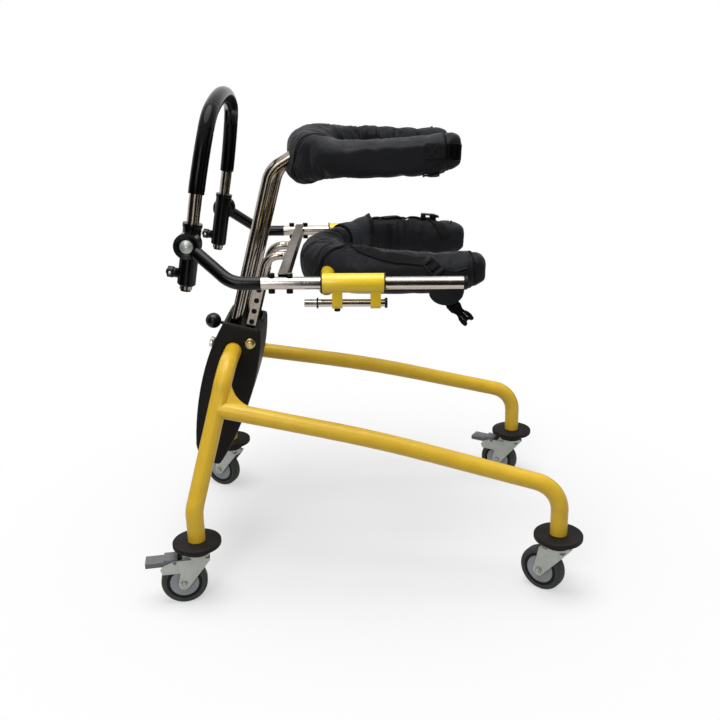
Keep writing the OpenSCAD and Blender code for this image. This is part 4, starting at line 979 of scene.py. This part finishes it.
def bar(name, size, place, bevel):
    bpy.ops.object.select_all(action="DESELECT")
    bpy.ops.mesh.primitive_cube_add(size=1, location=[v * MM for v in place], scale=[v * MM for v in size])
    piece = settle(bpy.context.object)
    piece.name = name
    return round_edges(piece, bevel, 1.0)


def cut(piece, cutter):
    add_modifier(piece, "BOOLEAN", operation="DIFFERENCE", solver="EXACT", object=cutter)
    bpy.data.objects.remove(cutter)
    return piece


def ladder_lock(name, length, width, thick):
    body = bar(name, (length, width, thick), (0, 0, 0), 1.2)
    for share in (-0.2, 0.2):
        cut(body, bar("slot", (length * 0.16, width - 8, thick * 3), (length * share, 0, 0), 0.4))
    lip = bar("lip", (length * 0.2, width - 2, thick * 0.7), (length * 0.46, 0, thick * 0.5), 0.8)
    teeth = [bar("tooth", (1.4, width - 9, 1.4), (length * (0.02 + 0.055 * k) - 1.6, 0, thick * 0.52), 0.4)
             for k in range(4)]
    return smooth(joined(name, [body, lip] + teeth), 40)


chest_lock = ladder_lock("chest_ladder_lock", 30, 33, 4.6)
put(chest_lock, seat_on(chest_cover, chest, 368, 12, 3.0))
dress(chest_lock, buckle_black, "buckle", "chest", "chest_buckle")
pelvic_lock = ladder_lock("pelvic_ladder_lock", 41, 28, 5)
put(pelvic_lock, seat_on(pelvic_cover, pelvic, 332, 27, 3.2, -50))
dress(pelvic_lock, buckle_black, "buckle", "pelvic_carriage", "ladder_buckle")
print("ladder locks seated")

# %% [markdown]
# ## The side-release buckle
# Its plug has two sprung arms and hangs open below the near arm of the pelvic pad. Its outline is a
# circle whose points are moved, filled, extruded and bevelled. The socket is a block with a mouth and
# two side windows, and lies on the far arm.

# %% Plug
PLUG_HALF = [
    (0.5, 0), (1, 0), (1, -0.26), (0.92, -0.34), (0.84, -0.44), (0.86, -0.54), (0.98, -0.66), (1.03, -0.82),
    (0.98, -0.97), (0.88, -1), (0.7, -0.98), (0.62, -0.9), (0.5, -0.88)]
PLUG_SHARES = PLUG_HALF + [(1 - x, y) for x, y in reversed(PLUG_HALF[1:-1])]
PLUG_W = 27
PLUG_LEN = 58
PLUG_T = 8
PLUG_SLOPE = math.radians(44)
PLUG_TOP = Vector((-331, 194.5, -50))


def plate(name, outline, thick, bevel):
    bpy.ops.object.select_all(action="DESELECT")
    bpy.ops.mesh.primitive_circle_add(vertices=len(outline), radius=0.01, fill_type="NGON")
    piece = bpy.context.object
    piece.name = name
    set_coords(piece, [(x * MM, y * MM, -thick / 2 * MM) for x, y in outline])
    rise = {"value": (0, 0, thick * MM)}
    in_edit_mode(piece, (bpy.ops.mesh.extrude_region_move, dict(TRANSFORM_OT_translate=rise)))
    clean(piece)
    return round_edges(piece, bevel, 0.6)


def pelvic_place(x, y, z):
    return pelvic["origin"] + pelvic["turn"] @ Vector((x, y, z)) * MM


plug_side = Vector((math.cos(PLUG_SLOPE), 0, -math.sin(PLUG_SLOPE)))
plug_up = Vector((math.sin(PLUG_SLOPE), 0, math.cos(PLUG_SLOPE)))
plug_middle = PLUG_TOP + plug_side * PLUG_W / 2
plug = plate("release_plug", [((x - 0.5) * PLUG_W, y * PLUG_LEN) for x, y in PLUG_SHARES], PLUG_T, 0.8)
cut(plug, bar("slot", (PLUG_W - 6, 3.2, 30), (0, -4.5, 0), 0.3))
for side in (-1, 1):
    cut(plug, bar("slit", (0.9, PLUG_LEN * 0.3, 30), (side * 5, -PLUG_LEN * 0.68, 0), 0.2))
grooves = [bar("groove", (PLUG_W - 5, 0.9, 1.2), (0, -9.5 - 2 * k, face * PLUG_T / 2), 0.3)
           for face in (1, -1) for k in range(3)]
plug = smooth(joined("release_plug", [plug] + grooves), 40)
matrix = Matrix((plug_side, plug_up, plug_side.cross(plug_up))).transposed()
matrix = (pelvic["turn"] @ matrix).to_4x4()
matrix.translation = pelvic_place(*plug_middle)
put(plug, matrix)
dress(plug, buckle_black, "buckle", "pelvic_carriage", "buckle_plug")
print("plug", len(plug.data.polygons), "faces")

# %% Socket
SOCKET = (36, 25, 13)
socket = bar("release_socket", SOCKET, (0, 0, 0), 2.2)
cut(socket, bar("mouth", (26, 19, 8), (10, 0, 0), 0.4))
cut(socket, bar("windows", (12, 60, 6), (2, 0, 0), 0.6))
loop = bar("loop", (9, 25, 5), (-20, 0, 1.5), 1.0)
cut(loop, bar("slot", (3.4, 19, 20), (-20.5, 0, 0), 0.3))
ridges = [bar("ridge", (1.2, 15, 1.2), (-9 + 3 * k, 0, SOCKET[2] / 2), 0.4) for k in range(4)]
socket = smooth(joined("release_socket", [socket, loop] + ridges), 40)
put(socket, seat_on(pelvic_cover, pelvic, -356, 89, 6.5))
dress(socket, buckle_black, "buckle", "pelvic_carriage", "buckle_socket")
print("socket", len(socket.data.polygons), "faces")

# %% [markdown]
# ## Straps of the pelvic pad
# A strap crosses the near arm to its ladder lock, and another lies on the far arm and ends at the
# socket. Each has a path of places along and round the pad, a width and a lift, and so has the glossy
# edge of a pocket near the end of the near arm. A short webbing below that arm holds the plug.

# %% Straps of the pelvic pad
PLUG_WEB_WIDTH = 24
PELVIC_STRAPS = [
    ("pelvic_near_strap", [(156, 108), (192, 84), (238, 61), (276, 49), (300, 45), (322, 44)],
     25, 2.2, (80, 10), 2.6, 12, webbing_black, "webbing", ["pelvic_straps"]),
    ("pelvic_lock_tail", [(338, 16), (352, -12)], 22, 1.2, (20, 8), 2.0, 0, webbing_black, "webbing", []),
    ("pelvic_pocket_edge", [(358, 18), (380, 13), (404, 21)],
     6, 1.6, (40, 4), 2.4, 0, knob_black, "buckle", []),
    ("pelvic_far_strap", [(-212, 92), (-241, 91), (-284, 90), (-318, 89), (-345, 88)],
     23, 3.4, (60, 8), 3.2, 12, webbing_black, "webbing", []),
    ("pelvic_far_tail", [(-362, 96), (-376, 116), (-388, 138), (-397, 158)],
     22, 1.4, (40, 8), 2.2, 0, webbing_black, "webbing", [])]
for name, path, width, lift, cuts, thick, relax, finish, slot, solids in PELVIC_STRAPS:
    strap = strip(name, draped(pelvic_cover, pelvic, path, width, lift), cuts, thick, relax)
    dress(strap, finish, slot, "pelvic_carriage", *solids)
hang_top = plug_middle + plug_up * 30 + Vector((0, -2, 0))
hang_low = plug_middle - plug_up * 5


def hang_place(u, v):
    return pelvic_place(*(hang_top.lerp(hang_low, u) + plug_side * PLUG_WEB_WIDTH * (v - 0.5)))


hang = strip("pelvic_plug_webbing", hang_place, (30, 8), 2.4)
dress(hang, webbing_black, "webbing", "pelvic_carriage")
print(len(PELVIC_STRAPS), "straps laid")

# %% [markdown]
# ## Flaps
# On the far arm a flap of cloth with a bound edge is wrapped round the pad, and it stands off a little
# at the top. Behind the tube a rounded flap hangs below the near arm. Both are sheets, and the flat
# size of the far one is told.

# %% Flaps
FLAP_START = -30
FLAP_END = 178
FLAP_LIFT = 3.4
FLAP_STAND = 14


def far_flap_place(u, v):
    degrees = FLAP_START + (FLAP_END - FLAP_START) * v
    left = np.interp(degrees, [-30, 76, 131, 178], [-150, -134, -100, -84])
    right = np.interp(degrees, [-30, 66, 140, 178], [-238, -228, -190, -170])
    stand = FLAP_STAND * max(u, 0) ** 2 * math.exp(-((degrees - 70) / 26) ** 2)
    return on_cover(pelvic_cover, pelvic, left + (right - left) * u, degrees, FLAP_LIFT + stand)


def edge_of_flap(start, end, low, high, lift):
    def place_of(u, v):
        middle = far_flap_place(start + (end - start) * u, low + (high - low) * v)
        outward = middle - pad_point(pelvic, -190, 0, 0)
        return middle + outward.normalized() * lift * MM
    return place_of


def rear_flap_place(u, v):
    round_low = math.sqrt(max(0.0, 1 - (2 * u - 1) ** 2))
    start = on_cover(pelvic_cover, pelvic, 328 + 70 * u, -30, 1.4)
    end = pelvic_place(-274 - 72 * u, 203, -32 - 30 * round_low)
    return start.lerp(end, v)


def flat_area(piece):
    return sum(face.area for face in piece.data.polygons) / 2


def lay_flap(name, place_of, cuts, thick, finish, relax=0):
    flap = strip(name, place_of, cuts, thick, relax)
    dress(flap, finish, "pad", "pelvic_carriage")
    return flap


far_flap = lay_flap("pelvic_far_flap", far_flap_place, (30, 60), 2.0, flap_nylon, 14)
rear_flap = lay_flap("pelvic_rear_flap", rear_flap_place, (30, 16), 2.4, pad_nylon)
binding = strip("pelvic_flap_binding", edge_of_flap(0.86, 1.0, 0.4, 0.84, 1.4), (8, 40), 2.0, 8)
dress(binding, binding_black, "webbing", "pelvic_carriage")
piping = strip("pelvic_flap_piping", edge_of_flap(0.0, 0.08, 0.36, 1.0, 1.0), (8, 40), 2.0, 8)
dress(piping, binding_black, "webbing", "pelvic_carriage")
tab_path = [(308, -62), (342, -62)]
chest_tab = strip("chest_rear_tab", draped(chest_cover, chest, tab_path, 20, 2.6), (24, 10), 3.2)
dress(chest_tab, pad_nylon, "pad", "chest")
print("flaps laid", round(flat_area(far_flap) * 1e4, 1), "square cm")

# %% [markdown]
# ## Piping
# The panels of a cover meet in piped seams, one round each front corner and one near each end. Each
# is a narrow strip laid along its path, and the far side mirrors the near one.

# %% Piping
CHEST_PIPING = [
    [(92, 104), (88, 66), (78, 36), (67, -12), (66, -50), (64, -84)],
    [(350, 104), (352, 60), (354, 34)]]
PELVIC_PIPING = [
    [(150, 100), (136, 60), (124, 30), (121, 0), (118, -40)],
    [(410, 112), (414, 70), (418, 34), (420, -8)]]
PIPING = [
    ("chest", chest_cover, chest, CHEST_PIPING), ("pelvic_carriage", pelvic_cover, pelvic, PELVIC_PIPING)]
for body, cover, pad, paths in PIPING:
    for index, path in enumerate(paths):
        for side in (1, -1):
            line = [(side * along, degrees) for along, degrees in path]
            cord = strip("%s_piping_%d_%s" % (body, index, "near" if side > 0 else "far"),
                         draped(cover, pad, line, 3.4, 0.5), (60, 4), 2.2, 6)
            dress(cord, binding_black, "pad", body)
print("piping laid")

# %% [markdown]
# ## Wheels
# A castor wheel has a grey tyre with a round shoulder, a black rim that lies a little lower and a pale
# hub. Tyre and rim are turned: half of the section is drawn once and spun about the axle, whose place
# comes from the joint. A pressed cap covers each end of the axle.

# %% Turned tyres, rims and axle caps


def turned(name, profile, place, axis, steps=72):
    bpy.ops.object.select_all(action="DESELECT")
    bpy.ops.mesh.primitive_circle_add(vertices=len(profile), radius=0.01)
    piece = bpy.context.object
    piece.name = name
    set_coords(piece, [(r * MM, 0, z * MM) for r, z in profile])
    whole = dict(steps=steps, angle=2 * math.pi, center=(0, 0, 0), axis=(0, 0, 1))
    in_edit_mode(piece, (bpy.ops.mesh.spin, whole))
    clean(piece)
    matrix = Vector(axis).to_track_quat("Z", "Y").to_matrix().to_4x4()
    matrix.translation = Vector(place)
    return smooth(put(piece, matrix), 32)


def mirrored(half):
    return half + [(r, -z) for r, z in reversed(half)]


def rounded(r, z, radius, start, end, count):
    turns = [math.radians(start + (end - start) * k / (count - 1)) for k in range(count)]
    return [(r + radius * math.cos(a), z + radius * math.sin(a)) for a in turns]


TYRE = mirrored(rounded(39, 11.5, 2, 180, 100, 4) + rounded(41.6, 6.4, 8.4, 82, 4, 9) + [(50, 3)])
RIM = mirrored([(30.6, 11.4), (31.4, 13.4), (37.2, 13.8), (39, 12.4)])
CAP = [(0, -0.4), (7.4, -0.4), (7.4, 0.8), (6.6, 1.4), (5.4, 1.4), (5.0, 3.6), (4.2, 4.2), (2.6, 4.2),
       (2.2, 3.0), (0, 2.8)]
FORK_HALF = 24
for corner in CORNERS:
    roll = joints[corner + "_roll"]
    hub = Vector(roll["pos_m"])
    axle = Vector(roll["axis"])
    tyre = turned(corner + "_tyre_form", TYRE, hub, axle)
    dress(tyre, tyre_rubber, "tyre", corner + "_wheel", corner + "_tyre")
    rim = turned(corner + "_rim", RIM, hub, axle)
    dress(rim, tyre_inner, "tyre", corner + "_wheel")
    caps = [turned("cap", CAP, hub + axle * side * FORK_HALF * MM, axle * side, 24) for side in (-1, 1)]
    dress(joined(corner + "_axle_caps", caps), zinc, "zinc", corner + "_castor")
print("wheels turned", len(tyre.data.polygons), "faces a tyre")

# %% [markdown]
# ## Bumpers
# A rubber disc with a collar sits on each leg, just above its castor. The edge of the disc is round
# and its top falls away a little, so it is turned too, about the stem of the castor.

# %% Turned bumpers
LEG_R = {"front": 19.05, "rear": 18.55}
COLLAR_R = 36
BUMPER_R = 52.5
BUMPER_LOW = 6
BUMPER_HIGH = 18
foot = coords(frame["nodes"]["bumpers"])[:, 2].min()
rubber_rings = []
for corner in CORNERS:
    hole = LEG_R[corner.split("_")[0]]
    stem = Vector(joints[corner + "_swivel"]["pos_m"])
    section = [(hole, 0), (COLLAR_R, 0), (COLLAR_R, BUMPER_LOW)]
    section += rounded(BUMPER_R - 2, BUMPER_LOW + 2, 2, -90, 0, 5)
    section += rounded(BUMPER_R - 2.4, BUMPER_HIGH - 4, 2.4, 0, 84, 6)
    section += [(COLLAR_R - 6, BUMPER_HIGH), (hole + 1, BUMPER_HIGH), (hole, BUMPER_HIGH - 1)]
    rubber_rings.append(turned("ring", section, (stem.x, stem.y, foot), (0, 0, 1), 64))
dress(joined("bumper_forms", rubber_rings), bumper_rubber, "bumper", "base", "bumpers")
print("bumpers turned from", round(float(foot), 4))

# %% [markdown]
# ## Softer edges
# Moulded and pressed pieces have no sharp edges. A copy of the solid is merged, its flat faces are
# joined and its edges are rounded. The copy then stands in for the solid.

# %% Rounded edges on moulded and pressed pieces
FLAT_LIMIT = math.radians(1)
EDGE_LIMIT = math.radians(35)


def soften(solid, width, finish, slot, body):
    piece = copy_of_node(solid, solid + "_form")
    in_edit_mode(piece, (bpy.ops.mesh.dissolve_limited, dict(angle_limit=FLAT_LIMIT)))
    add_modifier(piece, "BEVEL", width=width * MM, segments=3, limit_method="ANGLE",
                 angle_limit=EDGE_LIMIT, use_clamp_overlap=True)
    clean(piece)
    return dress(smooth(piece, 40), finish, slot, body, solid)


SOFT_EDGES = [
    ("left_clamp", 1.6, clamp_yellow, "clamp_yellow", "pelvic_carriage"),
    ("right_clamp", 1.6, clamp_yellow, "clamp_yellow", "pelvic_carriage"),
    ("front_left_pedal", 1.6, pedal_grey, "pedal", "front_left_brake"),
    ("rear_right_pedal", 1.6, pedal_grey, "pedal", "rear_right_brake"),
    ("left_plunger", 3.2, satin_black, "black_metal", "left_lock"),
    ("right_plunger", 3.2, satin_black, "black_metal", "right_lock")]
for corner in CORNERS:
    SOFT_EDGES.append((corner + "_fork", 1.0, zinc, "zinc", corner + "_castor"))
for entry in SOFT_EDGES:
    form = soften(*entry)
    print(form.name, len(form.data.polygons), "faces")

# %% [markdown]
# ## Round tubes
# A tube in a solid is many narrow flats, and chrome shows each of them. A copy keeps the shape and is
# shaded smooth. Its normals are weighted by the size of the faces, so that a long straight run isn't
# bent by the small faces of the bend next to it.

# %% Smooth tubes, arms and frames
ROUND_PIECES = [
    ("left_frame", frame_yellow, "frame_yellow", "base"),
    ("right_frame", frame_yellow, "frame_yellow", "base"),
    ("chest_tubes", chrome_with_painted_shade, "chrome", "chest"),
    ("side_tubes", chrome, "chrome", "pelvic_frame"),
    ("handlebar_grip", grip_black, "grip", "handlebar"),
    ("ball_knob", knob_black, "knob_black", "knob"),
    ("hole_bars", chrome_with_painted_shade, "chrome", "pelvic_frame"),
    ("handlebar", chrome_with_painted_shade, "chrome", "handlebar"),
    ("left_arm", satin_black, "black_metal", "arms"),
    ("right_arm", satin_black, "black_metal", "arms"),
    ("left_sleeve", satin_black, "black_metal", "sleeves"),
    ("right_sleeve", satin_black, "black_metal", "sleeves")]
for solid, finish, slot, body in ROUND_PIECES:
    form = smooth(copy_of_node(solid, solid + "_form"), 32)
    add_modifier(form, "WEIGHTED_NORMAL", keep_sharp=True)
    dress(form, finish, slot, body, solid)
print(len(ROUND_PIECES), "round pieces")

# %% [markdown]
# ## Crossbar and column cover
# The crossbar is a plain steel flat, drawn a little narrower than its solid about the same middle
# line, with a weld at each hook. Its steel is painted darker, as painted shade for the dark pad it
# reflects. The two halves of the column cover are moulded with wide soft edges, which a bevel can't
# make on their short faces. So they are remeshed finely and smoothed.

# %% Crossbar, welds and cover
CROSSBAR_SHARE = 0.64
HOLE_BAR_Y = 58
HOOK_END = (172, 720)
WELD_OUT = 12.6
WELD = [(0, -5), (11, -5), (11, -3.4), (10, -1), (9.6, 4), (0, 4)]
COVER_FORM_VOXEL = 2.8 * MM
crossbar = soften("crossbar", 1.2, steel_with_painted_shade, "chrome", "pelvic_frame")
points = coords(crossbar)
middle = (points[:, 0].min() + points[:, 0].max()) / 2
points[:, 0] = middle + (points[:, 0] - middle) * CROSSBAR_SHARE
set_coords(crossbar, points)
weld_places = [at(HOOK_END[0] + WELD_OUT, side * HOLE_BAR_Y, HOOK_END[1]) for side in (-1, 1)]
welds = [turned("weld", WELD, place, (1, 0, 0), 32) for place in weld_places]
dress(joined("hook_welds", welds), chrome_with_painted_shade, "chrome", "pelvic_frame")
for solid in ("cover_left", "cover_right"):
    form = copy_of_node(solid, solid + "_form")
    remesh(form, COVER_FORM_VOXEL)
    add_modifier(form, "SMOOTH", factor=0.5, iterations=30)
    dress(smooth(form, 60), moulded_black, "black_plastic", "base", solid)
    print(form.name, len(form.data.polygons), "faces")

# %% [markdown]
# ## Small turned trim
# The column leans, so its trim is placed along it. The cover is held by stout bolts with a washer and
# by a hexagon bolt at the front. Inside the hole bars lies a dark liner, which is what shows through
# their holes: it is painted shade for the dark inside of the tube. Each hole has a dark rim round it.
# A small pin ends each side of a lock plunger.

# %% Bolts, liners and rims
MAST_LEAN = math.radians(16)
MAST_TURN = Matrix.Rotation(-MAST_LEAN, 3, "Y")
MAST_FOOT = Vector((304.6, 0, 572))
HOLE_BAR_X = -36
HOLE_TOP = 112
HOLE_PITCH = 25
SHADE_LINER = (15.2, 15.2, 250)


def mast_place(x, y, z):
    return at(*(MAST_FOOT + MAST_TURN @ Vector((x, y, z))))


BOLT = [(0, -6), (11.5, -6), (11.5, -4.6), (10.4, -4), (8.4, -4)]
BOLT += rounded(6.8, 9, 2, 0, 80, 5) + [(3, 10.6), (0, 10.6)]
bolts = [turned("bolt", BOLT, mast_place(-44.4, side * 91, -33), (0, side, 0), 32) for side in (-1, 1)]
dress(joined("cover_bolt_heads", bolts), bolt_yellow, "chrome", "base", "cover_bolts")
# The liner is a dark block of painted shade inside each hole bar
shade_liners = []
for side in (-1, 1):
    shade_liner = bar("bar_shade_liner", SHADE_LINER, (0, 0, 0), 0.8)
    matrix = MAST_TURN.to_4x4()
    matrix.translation = mast_place(HOLE_BAR_X, side * HOLE_BAR_Y, -20)
    shade_liners.append(put(shade_liner, matrix))
dress(joined("hole_bar_shade_liners", shade_liners), tyre_inner, "black_plastic", "pelvic_frame")
HOLE_RIM = [(4.9, -0.5), (6.0, -0.5), (6.0, 0.25), (4.9, 0.1)]
rims = []
for side in (-1, 1):
    for face in (-1, 1):
        for k in range(4):
            place = mast_place(HOLE_BAR_X, side * HOLE_BAR_Y + face * 10, HOLE_TOP - HOLE_PITCH * (k + 1))
            rims.append(turned("rim", HOLE_RIM, place, (0, face, 0), 24))
dress(joined("hole_rims", rims), tyre_inner, "chrome", "pelvic_frame")
print(len(bolts), "bolts", len(rims), "rims")

# %% Front bolt and plunger pins
BOLT_HEAD_R = 12.5
BOLT_HEAD_HIGH = 10
bpy.ops.mesh.primitive_cylinder_add(vertices=6, radius=BOLT_HEAD_R * MM, depth=BOLT_HEAD_HIGH * MM)
head = bpy.context.object
head.name = "front_bolt_head"
matrix = (MAST_TURN @ Matrix.Rotation(math.pi / 2, 3, "Y")).to_4x4()
matrix.translation = mast_place(46, 0, -79)
put(head, matrix)
round_edges(head, 1.2, 1.0)
dress(smooth(head, 30), chrome, "chrome", "base")
PIN = [(0, -1)] + rounded(0, 0, 3.4, -10, 88, 6) + [(0, 3.4)]
for side in ("left", "right"):
    knob = coords(frame["nodes"][side + "_plunger"])
    middle = (knob[:, 1].min() + knob[:, 1].max()) / 2
    wide = (knob[:, 1].max() - knob[:, 1].min()) / 2
    rim_points = knob[np.abs(knob[:, 1] - middle) > wide * 0.97]
    heart = Vector((rim_points[:, 0].mean(), middle, rim_points[:, 2].mean()))
    pins = [turned("pin", PIN, heart + Vector((0, way * wide, 0)), (0, way, 0), 20) for way in (-1, 1)]
    dress(joined(side + "_plunger_pin", pins), zinc, "black_metal", side + "_lock")
print("trim placed")
